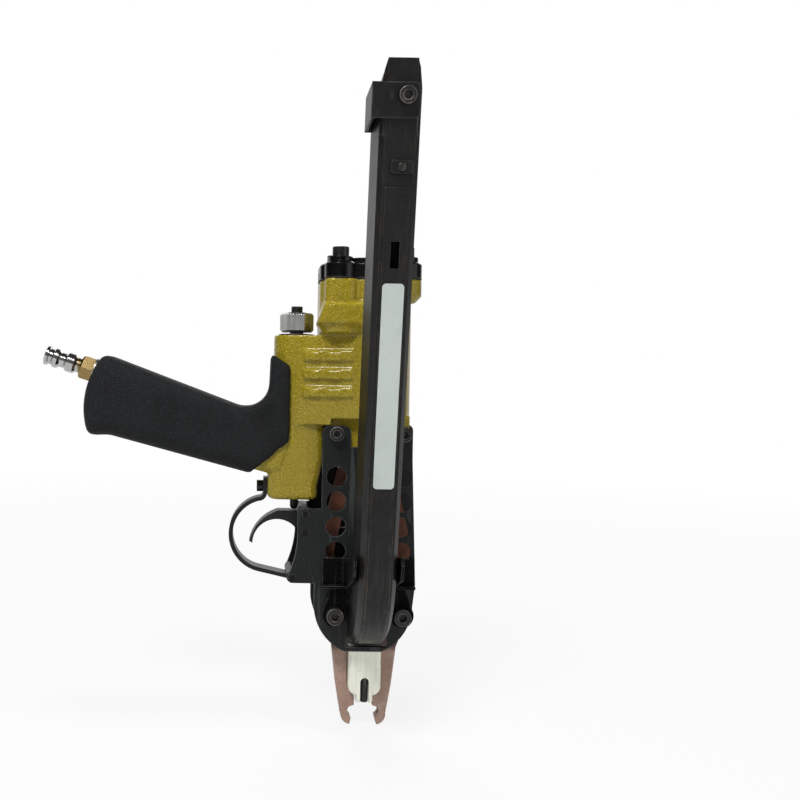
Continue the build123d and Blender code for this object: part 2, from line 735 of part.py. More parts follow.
with BuildPart() as piston_rod:
    add_pin(Plane.XY.offset(wedge_top), rod_radius, piston_foot - wedge_top)
    add_pin(Plane.XY.offset(piston_foot), spigot, piston_thick)
    add_pin(Plane.XY.offset(wedge_top), spigot, -blade_tongue)
save(piston_rod, "piston_rod")

with BuildPart() as rod_bush:
    add_tube(Plane.XY.offset(bush_foot), bush_radius, rod_radius + running, floor_z - bush_foot)
    with BuildSketch(Plane.XY.offset(floor_z)):
        Circle((bush_radius + rod_radius) / 2 + rod_bush_wall / 4)
    extrude(amount=-rod_seal_high, mode=Mode.SUBTRACT)
save(rod_bush, "rod_bush")

with BuildPart() as rod_seal:
    seal_radius = (bush_radius + rod_radius) / 2 + rod_bush_wall / 4 - slip
    add_tube(Plane.XY.offset(floor_z), seal_radius, rod_radius + running, -rod_seal_high)
save(rod_seal, "rod_seal")

with BuildPart() as wedge:
    with BuildSketch(Plane.XZ):
        with BuildLine():
            Polyline(
                (-blade_half, wedge_foot),
                (blade_half, wedge_foot),
                (wedge_top_half, wedge_top),
                (-wedge_top_half, wedge_top),
                close=True,
            )
        make_face()
    extrude(amount=wedge_thick / 2, both=True)
    with BuildSketch(Plane.XY.offset(wedge_top)):
        Circle(spigot + slip)
    extrude(amount=-blade_tongue, mode=Mode.SUBTRACT)
    with BuildSketch(Plane.XY.offset(wedge_foot)):
        Rectangle(4 * blade_half, blade_thick + 2 * slip)
    extrude(amount=blade_tongue, mode=Mode.SUBTRACT)
    with BuildSketch(facing_front(-wedge_thick / 2)):
        with Locations((0, wedge_foot + blade_tongue / 2)):
            Circle(blade_pin + slip)
    extrude(amount=-wedge_thick, mode=Mode.SUBTRACT)
save(wedge, "wedge")

with BuildPart() as driver_blade:
    with BuildSketch(Plane.XZ):
        with Locations((0, (blade_tip_z + wedge_foot + blade_tongue) / 2)):
            Rectangle(2 * blade_half, wedge_foot + blade_tongue - blade_tip_z)
        with Locations((0, wedge_foot + blade_tongue / 2)):
            Circle(blade_pin + slip, mode=Mode.SUBTRACT)
    extrude(amount=blade_thick / 2, both=True)
save(driver_blade, "driver_blade")

with BuildPart() as blade_cross_pin:
    with BuildSketch(facing_front(wedge_thick / 2)):
        with Locations((0, wedge_foot + blade_tongue / 2)):
            Circle(blade_pin)
    extrude(amount=wedge_thick)
save(blade_cross_pin, "blade_cross_pin")


# Side plates; the front one has windows and lets the magazine through
opening_low = bend_z - bend_outer - band_proud - side_play
opening_reach = plate_out + bend_y
opening_high = bend_z - sqrt((bend_outer - channel_deep) ** 2 - opening_reach ** 2) + 2 * side_play


def plate_outline(left, right, top_right):
    """Outline of a side plate with wing, notch and bolt holes, from its left, right and upper right widths."""
    round_pin = guard_pin_z - wing_bottom
    with Locations((lobe_x, lobe_z)):
        Circle(lobe_radius)
    with Locations((lobe_x, lobe_z + lobe_radius / 2)):
        Rectangle(2 * lobe_radius, 2 * (lobe_z - nose_z) + lobe_radius, mode=Mode.INTERSECT)
    with BuildLine() as blank:
        Polyline(
            (lobe_x - lobe_radius, lobe_z),
            (lobe_x + lobe_radius, lobe_z),
            (right, wing_bottom),
            (top_right, plate_top),
            (-plate_half, plate_top),
            (-left, wing_top),
            (-left, wing_bottom),
            (lobe_x - lobe_radius, wing_bottom),
            close=True,
        )
    make_face(blank.edges())
    with Locations((0, plate_top)):
        Rectangle(2 * notch_half, 2 * (plate_top - notch_floor), mode=Mode.SUBTRACT)
    fillet(vertices().group_by(Axis.Y)[-1], tab_corner)
    with BuildLine() as wing:
        Polyline((0, wing_bottom), (0, wing_top), (-wing_left, wing_top), wing_shoulder)
        ThreePointArc(wing_shoulder, wing_throat, (guard_pin_x - round_pin, guard_pin_z))
        RadiusArc((guard_pin_x - round_pin, guard_pin_z), (guard_pin_x, wing_bottom), -round_pin)
        Line((guard_pin_x, wing_bottom), (0, wing_bottom))
    make_face(wing.edges())
    with Locations((0, plate_bolt_z)):
        with GridLocations(2 * plate_bolt_x, 0, 2, 1):
            Circle(m5_shank + bolt_play, mode=Mode.SUBTRACT)
    with Locations((0, pivot_z)):
        with GridLocations(2 * pivot_x, 0, 2, 1):
            Circle(m6_shank + bolt_play, mode=Mode.SUBTRACT)
    with Locations((trigger_x, trigger_z), (trigger_x, stop_pin_z), (guard_pin_x, guard_pin_z)):
        Circle(plain_pin + slip, mode=Mode.SUBTRACT)


with BuildPart() as front_plate:
    with BuildSketch(facing_front(-plate_in)):
        plate_outline(plate_half, plate_half, plate_top_right)
        for index in range(window_count):
            with Locations((0, window_first_z + index * window_pitch)):
                with GridLocations(2 * window_x, 0, 2, 1):
                    Circle(window_radius, mode=Mode.SUBTRACT)
        with Locations((0, (opening_low + opening_high) / 2)):
            Rectangle(2 * bracket_notch_half, opening_high - opening_low, mode=Mode.SUBTRACT)
    extrude(amount=plate_thick)
save(front_plate, "front_plate")

with BuildPart() as rear_plate:
    with BuildSketch(facing_front(plate_out)):
        plate_outline(rear_plate_left, rear_plate_right, rear_plate_right)
    extrude(amount=plate_thick)
save(rear_plate, "rear_plate")

with BuildPart() as plate_bolts:
    for side in (-1, 1):
        for face in (-1, 1):
            seat = Plane((side * plate_bolt_x, face * plate_out, plate_bolt_z), (1, 0, 0), (0, face, 0))
            add_screw(seat, m5_head, m5_head_high, m5_shank, plate_bolt_long)
save(plate_bolts, "plate_bolts")


# Jaw pivots
pivot_seat = plate_out + bracket_sheet
pivot_long = pivot_seat + plate_out + m6_nut_high + thread_end

with BuildPart() as pivot_sleeves:
    for side in (-1, 1):
        foot = Plane((side * pivot_x, plate_in, pivot_z), (1, 0, 0), (0, -1, 0))
        add_tube(foot, sleeve_radius, m6_shank + running, plate_gap)
save(pivot_sleeves, "pivot_sleeves")

with BuildPart() as pivot_spacers:
    for side in (-1, 1):
        for face in (-1, 1):
            foot = Plane((side * pivot_x, face * plate_in, pivot_z), (1, 0, 0), (0, -face, 0))
            add_tube(foot, sleeve_radius + spacer_wall, sleeve_radius + slip, plate_in - jaw_side)
save(pivot_spacers, "pivot_spacers")

with BuildPart() as pivot_bolts:
    for side in (-1, 1):
        seat = Plane((side * pivot_x, -pivot_seat, pivot_z), (1, 0, 0), (0, -1, 0))
        add_screw(seat, m6_head, m6_head_high, m6_shank, pivot_long)
save(pivot_bolts, "pivot_bolts")

with BuildPart() as pivot_nuts:
    for side in (-1, 1):
        with BuildSketch(Plane((side * pivot_x, plate_out, pivot_z), (1, 0, 0), (0, 1, 0))):
            RegularPolygon(m6_nut_across / 2, 6, major_radius=False)
            Circle(m6_shank + slip, mode=Mode.SUBTRACT)
        extrude(amount=m6_nut_high)
save(pivot_nuts, "pivot_nuts")


# Jaws with their rollers and spring posts
tail_run = Vector(roller_x - tail_root[0], roller_z - tail_root[1]).normalized()
tail_out = Vector(tail_run.Y, -tail_run.X)
tail_base = Vector(*tail_root)
tail_end = Vector(roller_x, roller_z)


def jaw_outline(side):
    """Side view of one jaw; side is -1 for the left jaw and 1 for the right one."""

    def at(point):
        return (side * point[0], point[1])

    def beside(point, offset):
        spot = point + tail_out * offset
        return (side * spot.X, spot.Y)

    tip = tail_end + tail_run * tail_tip_half
    with BuildLine() as profile:
        ThreePointArc(at(hook_tip), at(hook_heel), at(hook_toe))
        Polyline(
            at(hook_toe),
            at(arm_outer_low),
            at(arm_outer_mid),
            at(arm_outer_high),
            at((pivot_x + jaw_eye, pivot_z)),
            beside(tail_base, tail_root_half),
            beside(tail_end, tail_tip_half),
        )
        ThreePointArc(
            beside(tail_end, tail_tip_half), (side * tip.X, tip.Y), beside(tail_end, -tail_tip_half)
        )
        Polyline(
            beside(tail_end, -tail_tip_half),
            beside(tail_base, -tail_root_half),
            at((arm_inner, pivot_z)),
            at((arm_inner, arm_foot_z)),
        )
        ThreePointArc(at((arm_inner, arm_foot_z)), at(arm_bend), at((shoulder_x, shoulder_high)))
        Polyline(at((shoulder_x, shoulder_high)), at((shoulder_x, shoulder_low)), at(hook_pocket_top))
        ThreePointArc(at(hook_pocket_top), at(hook_pocket), at(hook_pocket_foot))
        Polyline(at(hook_pocket_foot), at(hook_beak), at(hook_tip))
    make_face(profile.edges())
    with Locations(at((pivot_x, pivot_z))):
        Circle(jaw_eye)
        Circle(sleeve_radius + running, mode=Mode.SUBTRACT)
    with Locations(at((roller_x, roller_z))):
        Circle(plain_pin + slip, mode=Mode.SUBTRACT)


for side, hand in ((-1, "left"), (1, "right")):
    with BuildPart() as jaw:
        with BuildSketch(Plane.XZ):
            jaw_outline(side)
        extrude(amount=jaw_half, both=True)
        outer = edges().filter_by(
            lambda e: abs(abs(e.center().Y) - jaw_half) < 0.01
            and abs(e.center().X) > hook_toe[0]
            and e.center().Z < nose_z
        )
        chamfer(outer, jaw_bevel)
        # blind hole for the spring post, open at the rear
        with BuildSketch(facing_front(jaw_half)):
            with Locations((side * post_x, post_z)):
                Circle(post_radius + slip)
        extrude(amount=post_seat, mode=Mode.SUBTRACT)
        # fork for the roller
        with BuildSketch(Plane.XZ):
            with Locations((side * roller_x, roller_z)):
                Circle(roller_radius + 2 * side_play)
        extrude(amount=roller_wide / 2 + side_play / 2, both=True, mode=Mode.SUBTRACT)
        # ring track down the arm and round the inside of the hook
        with BuildSketch(Plane.XZ):
            with Locations((side * arm_inner, (arm_foot_z + pivot_z) / 2)):
                Rectangle(2 * track_deep, pivot_z - arm_foot_z)
            with Locations((side * (hook_pocket[0] - track_deep), hook_pocket[1])):
                Circle(2 * track_deep)
        extrude(amount=ring_wire / 2, both=True, mode=Mode.SUBTRACT)
    save(jaw, f"{hand}_jaw")

    with BuildPart() as roller:
        with BuildSketch(facing_front(roller_wide / 2)):
            with Locations((side * roller_x, roller_z)):
                Circle(roller_radius)
                Circle(plain_pin + running, mode=Mode.SUBTRACT)
        extrude(amount=roller_wide)
    save(roller, f"{hand}_roller")

    with BuildPart() as roller_pin:
        add_pin(Plane((side * roller_x, jaw_half, roller_z), (1, 0, 0), (0, -1, 0)), plain_pin, jaw_thick)
    save(roller_pin, f"{hand}_roller_pin")

    with BuildPart() as spring_post:
        seat = Plane((side * post_x, jaw_half - post_seat, post_z), (1, 0, 0), (0, 1, 0))
        add_pin(seat, post_radius, post_seat - jaw_half + spring_y + 3 * spring_wire)
    save(spring_post, f"{hand}_spring_post")


# Jaw return spring: a hook round each post and curls between them
def hook_stations(centre, radius, quarters):
    """Quarter-turn stations round a post, in the plane across the tool."""
    stations = []
    for quarter in quarters:
        angle = radians(90 * quarter)
        spoke = Vector(cos(angle), 0, sin(angle))
        ahead = Vector(-sin(angle), 0, cos(angle))
        stations.append((centre + spoke * radius, ahead))
    return stations


hook_radius = post_radius + spring_wire / 2 + roller_play
curl_start = Vector(-spring_turns * spring_pitch / 2, spring_y, post_z)
jaw_wire = (
    hook_stations(Vector(-post_x, spring_y, post_z), hook_radius, (0, 1, 2, 3))
    + helix_stations(curl_start, Vector(1, 0, 0), Vector(0, 0, -1), spring_radius, spring_pitch, spring_turns)
    + hook_stations(Vector(post_x, spring_y, post_z), hook_radius, (3, 4, 5, 6))
)
with BuildPart() as jaw_spring:
    with BuildLine() as jaw_wire_path:
        add_biarcs(jaw_wire)
    with BuildSketch(Plane(jaw_wire[0][0], z_dir=jaw_wire[0][1])):
        Circle(spring_wire / 2)
    sweep(path=jaw_wire_path.line)
print("jaw spring, least gap", round(least_gap(jaw_wire, spring_wire), 2))
save(jaw_spring, "jaw_spring")


# Ring guide, its finger and the block behind the jaws
def guide_outline():
    """Front view of a guide block: a wide body that narrows to two prongs."""
    with BuildLine() as profile:
        for side in (-1, 1):
            Polyline((0, guide_top), (side * guide_half, guide_top), (side * guide_half, guide_knee))
            ThreePointArc(
                (side * guide_half, guide_knee),
                (side * guide_bend[0], guide_bend[1]),
                (side * guide_prong_half, guide_prong_top),
            )
            Polyline(
                (side * guide_prong_half, guide_prong_top),
                (side * guide_prong_half, guide_foot),
                (0, guide_foot),
            )
    make_face(profile.edges())


finger_y = -jaw_side - guide_thick / 2
with BuildPart() as ring_guide:
    with BuildSketch(facing_front(-jaw_side)):
        guide_outline()
    extrude(amount=guide_thick)
    fillet(edges().filter_by(Axis.Z).group_by(Axis.Y)[0], guide_round)
    # the upper end reaches forward to the front plate
    with BuildSketch(facing_front(-jaw_side)):
        with Locations((0, (nose_z + guide_top) / 2)):
            Rectangle(2 * guide_half, guide_top - nose_z)
    extrude(amount=plate_in - jaw_side)
    with BuildSketch(facing_front(-jaw_side)):
        with Locations((0, guide_slot_top - guide_slot_half)):
            Circle(guide_slot_half)
        with Locations((0, (guide_foot + guide_slot_top - guide_slot_half) / 2)):
            Rectangle(2 * guide_slot_half, guide_slot_top - guide_slot_half - guide_foot)
    extrude(amount=guide_thick, mode=Mode.SUBTRACT)
    with BuildSketch(Plane.XY.offset(finger_top)):
        with Locations((0, finger_y)):
            Circle(finger_radius + slip)
    extrude(amount=guide_slot_top - finger_top - guide_slot_half, mode=Mode.SUBTRACT)
save(ring_guide, "ring_guide")

with BuildPart() as guide_finger:
    add_pin(Plane((0, finger_y, finger_top)), finger_radius, finger_foot - finger_top)
save(guide_finger, "guide_finger")

with BuildPart() as rear_guide:
    with BuildSketch(facing_front(plate_in)):
        guide_outline()
    extrude(amount=plate_in - jaw_side)
save(rear_guide, "rear_guide")


# Magazine
def at_depth(depth):
    """Height in the magazine's section plane of a depth behind its front face."""
    return depth - bend_outer


def mag_spot(x, s, depth):
    """Plane at one point of the magazine, whose normal points out of the front face."""
    return Plane(mag_front(depth).from_local_coords((x, s, 0)), (1, 0, 0), mag_front(0).z_dir)


def half_at(depth):
    """Half of the channel's width at a depth behind its front face."""
    if depth < corner_deep:
        return front_half + (shoulder_half - front_half) * depth / corner_deep
    return shoulder_half + (back_half - shoulder_half) * (depth - corner_deep) / (channel_deep - corner_deep)


def across(near, far, inset, mode=Mode.ADD):
    """Section between two depths, as wide as the flared channel less an inset on each side."""
    depths = [near, corner_deep, far] if near < corner_deep else [near, far]
    right = [(half_at(depth) - inset, at_depth(depth)) for depth in depths]
    left = [(-x, y) for x, y in reversed(right)]
    with BuildLine() as outline:
        Polyline(*right, *left, close=True)
    make_face(outline.edges(), mode=mode)


def channel_section():
    """Folded sheet channel, open on the side towards the tool."""
    across(0, channel_deep, 0)
    across(sheet, channel_deep, sheet, Mode.SUBTRACT)


def band_section():
    """Raised band along the front face."""
    with Locations((0, at_depth(-band_proud / 2))):
        Rectangle(2 * band_half, band_proud)


with BuildPart() as magazine_channel:
    with BuildSketch(mag_plane):
        channel_section()
    extrude(amount=channel_long)
    with BuildSketch(mag_plane):
        channel_section()
        band_section()
    revolve(axis=bend_axis, revolution_arc=bend_turn)
    with BuildSketch(mag_plane):
        band_section()
    extrude(amount=band_long)
    # the side walls stop short and the front sheet runs on as a tapered end
    with BuildSketch(mag_plane.offset(wall_long)):
        with Locations((0, at_depth(sheet + channel_deep / 2))):
            Rectangle(4 * back_half, channel_deep)
    extrude(amount=channel_long, mode=Mode.SUBTRACT)
    with BuildSketch(mag_front(2 * sheet)):
        for side in (-1, 1):
            with BuildLine():
                Polyline(
                    (side * front_half, channel_long - end_taper_long),
                    (side * 2 * front_half, channel_long),
                    (side * end_half, channel_long),
                    close=True,
                )
            make_face()
    extrude(amount=4 * sheet, mode=Mode.SUBTRACT)
    # latch window, bolt hole and rivet hole
    with BuildSketch(mag_front(2 * sheet)):
        with Locations((0, (slot_low + slot_high) / 2)):
            Rectangle(2 * slot_half, slot_high - slot_low)
        with Locations((clip_bolt_x, clip_bolt_s)):
            Circle(m5_shank + bolt_play)
        with Locations((pad_x, pad_s)):
            Circle(rivet_radius + slip)
    extrude(amount=4 * sheet, mode=Mode.SUBTRACT)
save(magazine_channel, "magazine_channel")

foot_near = channel_deep - 2 * sheet
foot_far = channel_deep - sheet
with BuildPart() as magazine_rail:
    with BuildSketch(mag_plane):
        with Locations((0, at_depth((rail_near + rail_far) / 2))):
            Rectangle(2 * rail_half, rail_far - rail_near)
    extrude(amount=rail_top)
    with BuildSketch(mag_plane):
        with Locations((0, at_depth((rail_near + rail_far) / 2))):
            Rectangle(2 * rail_half, rail_far - rail_near)
        with Locations((0, at_depth((rail_far + foot_far) / 2))):
            Rectangle(2 * rail_web, foot_far - rail_far)
        across(foot_near, foot_far, sheet)
    revolve(axis=bend_axis, revolution_arc=bend_turn)
    with BuildSketch(mag_front(rail_near)):
        with Locations((pad_x, pad_s)):
            Rectangle(2 * pad_half_high, 2 * pad_half_high)
        with Locations((clip_bolt_x, clip_bolt_s)):
            Rectangle(2 * (rail_top - clip_bolt_s), 2 * (rail_top - clip_bolt_s))
    extrude(amount=rail_near - sheet)
    with BuildSketch(mag_front(rail_far)):
        with Locations((clip_bolt_x, clip_bolt_s)):
            Circle(m5_shank + slip)
        with Locations((pad_x, pad_s)):
            Circle(rivet_radius + slip)
    extrude(amount=rail_far, mode=Mode.SUBTRACT)
save(magazine_rail, "magazine_rail")

pusher_near = sheet + side_play
pusher_far = channel_deep - sheet - 5 * side_play
with BuildPart() as magazine_pusher:
    with BuildSketch(mag_plane.offset(pusher_low)):
        across(pusher_near, pusher_far, sheet + side_play)
        with Locations((0, at_depth((rail_near + rail_far) / 2))):
            Rectangle(
                2 * (rail_half + side_play), rail_far - rail_near + 2 * side_play, mode=Mode.SUBTRACT
            )
    extrude(amount=pusher_high - pusher_low)
    with BuildSketch(mag_plane.offset(pusher_high)):
        with Locations((0, at_depth((pusher_far + channel_deep + pusher_tab_out) / 2))):
            Rectangle(2 * pusher_tab_half, channel_deep + pusher_tab_out - pusher_far)
    extrude(amount=-pusher_tab_long)
save(magazine_pusher, "magazine_pusher")

strip_near = rail_far + 2 * side_play
roll_s = pusher_low - roll_radius - side_play
with BuildPart() as feed_spring:
    with BuildSketch(mag_plane):
        with Locations((0, at_depth(strip_near + strip_thick / 2))):
            Rectangle(2 * strip_half, strip_thick)
    extrude(amount=roll_s)
    roll_centre = mag_plane.from_local_coords((-strip_half, at_depth(strip_near + roll_radius), roll_s))
    add_pin(Plane(roll_centre, (0, 1, 0), (1, 0, 0)), roll_radius, 2 * strip_half)
save(feed_spring, "feed_spring")

with BuildPart() as magazine_clip:
    with BuildSketch(mag_front(0)):
        with Locations(((clip_left + clip_right) / 2, (clip_low + clip_high) / 2)):
            Rectangle(clip_right - clip_left, clip_high - clip_low)
        fillet(vertices().group_by(Axis.X)[-1], clip_corner)
        with Locations((clip_bolt_x, clip_bolt_s)):
            Circle(m5_shank + bolt_play, mode=Mode.SUBTRACT)
    extrude(amount=clip_sheet)
    # the leg runs straight back, so it drops along the leaning magazine
    leg_drop = clip_deep * tan(radians(lean))
    leg_start = mag_front(-clip_sheet).from_local_coords((clip_left, 0, 0))
    with BuildSketch(Plane(leg_start, mag_plane.y_dir, (1, 0, 0))):
        with BuildLine():
            Polyline(
                (0, clip_low),
                (0, clip_high),
                (clip_deep, clip_high - leg_drop),
                (clip_deep, clip_low - leg_drop),
                close=True,
            )
        make_face()
    extrude(amount=clip_sheet)
    with BuildSketch(mag_front(clip_deep - clip_sheet)):
        with Locations((clip_left / 2, (clip_low + clip_high) / 2 - leg_drop)):
            Rectangle(-clip_left, clip_high - clip_low)
    extrude(amount=clip_sheet)
save(magazine_clip, "magazine_clip")

with BuildPart() as clip_bolt:
    add_screw(
        mag_spot(clip_bolt_x, clip_bolt_s, -clip_sheet),
        m5_head,
        m5_head_high,
        m5_shank,
        clip_sheet + rail_far,
    )
save(clip_bolt, "clip_bolt")

with BuildPart() as rail_pad:
    with BuildSketch(mag_front(0)):
        with Locations((pad_x, pad_s)):
            RectangleRounded(2 * pad_half_wide, 2 * pad_half_high, pad_half_high / 2)
    extrude(amount=pad_proud, taper=pad_draft)
    with BuildSketch(mag_front(0)):
        with Locations((pad_x, pad_s)):
            Circle(rivet_radius + slip)
    extrude(amount=pad_proud, mode=Mode.SUBTRACT)
save(rail_pad, "rail_pad")

with BuildPart() as pad_rivet:
    add_pin(mag_spot(pad_x, pad_s, -pad_proud), rivet_radius, -pad_proud - rail_far)
    add_pin(mag_spot(pad_x, pad_s, -pad_proud), rivet_radius + bolt_play, rivet_radius / 2)
    fillet(faces().sort_by(Axis((0, 0, 0), mag_front(0).z_dir))[-1].edges(), rivet_radius / 3)
save(pad_rivet, "pad_rivet")

with BuildPart() as label_plate:
    with BuildSketch(mag_front(-band_proud)):
        with Locations((0, (label_low + label_high) / 2)):
            RectangleRounded(2 * label_half, label_high - label_low, label_corner)
    extrude(amount=label_thick)
save(label_plate, "label_plate")


# Magazine bracket: sheet on the front plate, lugs under the pivot bolts, lip and cheeks
with BuildPart() as magazine_bracket:
    with BuildSketch(facing_front(-plate_out)):
        with Locations((0, (bracket_low + bracket_high) / 2)):
            Rectangle(2 * bracket_half, bracket_high - bracket_low)
        for side in (-1, 1):
            with Locations((side * pivot_x, pivot_z)):
                Circle(bracket_lug)
            with BuildLine():
                Polyline(
                    (side * (pivot_x - bracket_lug), pivot_z),
                    (side * (pivot_x + bracket_lug), pivot_z),
                    (side * lug_neck, bracket_low),
                    (side * bracket_notch_half, bracket_low),
                    close=True,
                )
            make_face()
        with Locations((0, bracket_low)):
            Rectangle(
                2 * bracket_notch_half, 2 * (bracket_notch_top - bracket_low), mode=Mode.SUBTRACT
            )
        with Locations((0, pivot_z)):
            with GridLocations(2 * pivot_x, 0, 2, 1):
                Circle(m6_shank + bolt_play, mode=Mode.SUBTRACT)
    extrude(amount=bracket_sheet)
    for side in (-1, 1):
        lip_mid = side * (bracket_half + bracket_notch_half) / 2
        with BuildSketch(Plane.XY.offset(bracket_low)):
            with Locations((lip_mid, -plate_out - bracket_sheet - lip_out / 2)):
                Rectangle(bracket_half - bracket_notch_half, lip_out)
        extrude(amount=lip_thick)
        with BuildSketch(Plane.YZ.offset(side * bracket_notch_half)):
            with BuildLine():
                Polyline(
                    (-plate_out, bracket_low),
                    (-plate_out, ear_rear_top),
                    ear_peak,
                    ear_nose,
                    ear_chin,
                    (-plate_out - bracket_sheet - lip_out, bracket_low),
                    close=True,
                )
            make_face()
        extrude(amount=side * ear_thick)
save(magazine_bracket, "magazine_bracket")


# Trigger, its pins and the guard
with BuildPart() as trigger:
    with BuildSketch(facing_front(trigger_wide / 2)):
        with BuildLine():
            Polyline(
                trigger_heel,
                (trigger_heel[0], trigger_top),
                (trigger_back, trigger_top),
            )
            ThreePointArc((trigger_back, trigger_top), trigger_knuckle, trigger_tip)
            Line(trigger_tip, trigger_toe)
            ThreePointArc(trigger_toe, trigger_pad, trigger_root)
            Line(trigger_root, trigger_heel)
        make_face()
    extrude(amount=trigger_wide)
    with BuildSketch(facing_front(plate_in - side_play)):
        with Locations((trigger_x, trigger_z)):
            Circle(trigger_hub)
    extrude(amount=2 * (plate_in - side_play))
    with BuildSketch(facing_front(plate_in)):
        with Locations((trigger_x, trigger_z)):
            Circle(plain_pin + running)
    extrude(amount=plate_gap, mode=Mode.SUBTRACT)
save(trigger, "trigger")

pin_long = 2 * plate_out + side_play
with BuildPart() as trigger_pins:
    for z in (trigger_z, stop_pin_z):
        add_pin(Plane((trigger_x, pin_long / 2, z), (1, 0, 0), (0, -1, 0)), plain_pin, pin_long)
save(trigger_pins, "trigger_pins")

guard_flange_x = guard_boss_left - guard_thick / 2
with BuildPart() as trigger_guard:
    with BuildSketch(facing_front(guard_wide / 2)):
        with BuildLine():
            Line((guard_flange_x, guard_top), (guard_flange_x, guard_bend_z))
            bow_start = (guard_flange_x - guard_bend, guard_bend_z - guard_bend)
            RadiusArc((guard_flange_x, guard_bend_z), bow_start, guard_bend)
            ThreePointArc(bow_start, guard_bow, guard_sole)
            Line(guard_sole, (guard_pin_x, guard_pin_z - guard_eye + guard_thick / 2))
        trace(line_width=guard_thick)
    extrude(amount=guard_wide)
    with BuildSketch(facing_front(plate_in - side_play)):
        with Locations((guard_pin_x, guard_pin_z)):
            Circle(guard_eye)
    extrude(amount=2 * (plate_in - side_play))
    with BuildSketch(facing_front(plate_in)):
        with Locations((guard_pin_x, guard_pin_z)):
            Circle(plain_pin + slip)
    extrude(amount=plate_gap, mode=Mode.SUBTRACT)
    with BuildSketch(Plane.YZ.offset(guard_boss_left)):
        with Locations((0, guard_screw_z)):
            Circle(m4_shank + bolt_play)
    extrude(amount=-guard_thick, mode=Mode.SUBTRACT)
save(trigger_guard, "trigger_guard")

with BuildPart() as guard_screw:
    seat = Plane((guard_boss_left - guard_thick, 0, guard_screw_z), (0, 1, 0), (-1, 0, 0))
    add_screw(seat, m4_head, m4_head_high, m4_shank, guard_screw_long)
save(guard_screw, "guard_screw")

with BuildPart() as guard_pin:
    add_pin(Plane((guard_pin_x, pin_long / 2, guard_pin_z), (1, 0, 0), (0, -1, 0)), plain_pin, pin_long)
save(guard_pin, "guard_pin")


# Valve in the column
column_plane = Plane((column_x, 0, 0))
with BuildPart() as valve_sleeve:
    add_tube(column_plane.offset(column_foot), valve_bore, stem_radius + running, valve_top - column_foot)
    with BuildSketch(column_plane.offset(sleeve_floor)):
        Circle(spool_bore)
    extrude(amount=spring_seat - sleeve_floor, mode=Mode.SUBTRACT)
    with BuildSketch(Plane.YZ.offset(column_x)):
        with Locations((0, duct_z)):
            Circle(duct_radius)
    extrude(amount=2 * valve_bore, mode=Mode.SUBTRACT)
    with BuildSketch(Plane.YZ.offset(column_x)):
        with Locations((0, handle_z)):
            Circle(passage_radius / 2)
    extrude(amount=-2 * valve_bore, mode=Mode.SUBTRACT)
save(valve_sleeve, "valve_sleeve")

with BuildPart() as valve_stem:
    add_pin(column_plane.offset(stem_foot), stem_radius, spool_foot - stem_foot)
    fillet(edges().group_by(Axis.Z)[0], stem_radius - running)
    add_pin(column_plane.offset(spool_foot), spool_radius, spool_top - spool_foot)
    with BuildSketch(column_plane.offset((spool_foot + spool_top) / 2 - passage_radius)):
        Circle(spool_radius)
        Circle(stem_radius, mode=Mode.SUBTRACT)
    extrude(amount=2 * passage_radius, mode=Mode.SUBTRACT)
save(valve_stem, "valve_stem")

# the spring is sealed in the sleeve, so it is a plain tube
with BuildPart() as valve_spring:
    curl_out = spool_radius - side_play
    add_tube(column_plane.offset(spool_top), curl_out, curl_out - valve_spring_wall, valve_spring_long)
save(valve_spring, "valve_spring")


# Exhaust set on the shoulder
washer_top = shoulder_top + washer_thick
deflector_foot = washer_top + deflector_lift
deflector_top = deflector_foot + deflector_high
with BuildPart() as exhaust_washer:
    add_tube(column_plane.offset(shoulder_top), washer_radius, stud_radius + slip, washer_thick)
save(exhaust_washer, "exhaust_washer")

with BuildPart() as exhaust_stud:
    add_pin(column_plane.offset(shoulder_top - stud_below), stud_radius, stud_below)
    add_pin(column_plane.offset(shoulder_top), stud_radius, deflector_foot + stud_above - shoulder_top)
save(exhaust_stud, "exhaust_stud")

with BuildPart() as exhaust_deflector:
    with BuildSketch(column_plane.offset(deflector_foot)):
        RegularPolygon(deflector_across / 2, 6, major_radius=False, rotation=deflector_turn)
    extrude(amount=deflector_high)
    chamfer(faces().filter_by(Axis.Z).edges(), cap_bevel)
    with BuildSketch(column_plane.offset(deflector_foot)):
        Circle(stud_radius + slip)
    extrude(amount=stud_above, mode=Mode.SUBTRACT)
    with BuildSketch(column_plane.offset(deflector_top)):
        Circle(m4_shank + slip)
    extrude(amount=stud_above - deflector_high, mode=Mode.SUBTRACT)
save(exhaust_deflector, "exhaust_deflector")

with BuildPart() as exhaust_screw:
    add_screw(
        column_plane.offset(deflector_top),
        m4_head,
        m4_head_high,
        m4_shank,
        deflector_high - stud_above,
    )
save(exhaust_screw, "exhaust_screw")
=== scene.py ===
import json
from math import cos, pi, radians, sin

import bmesh
import bpy
from mathutils import Matrix, Vector


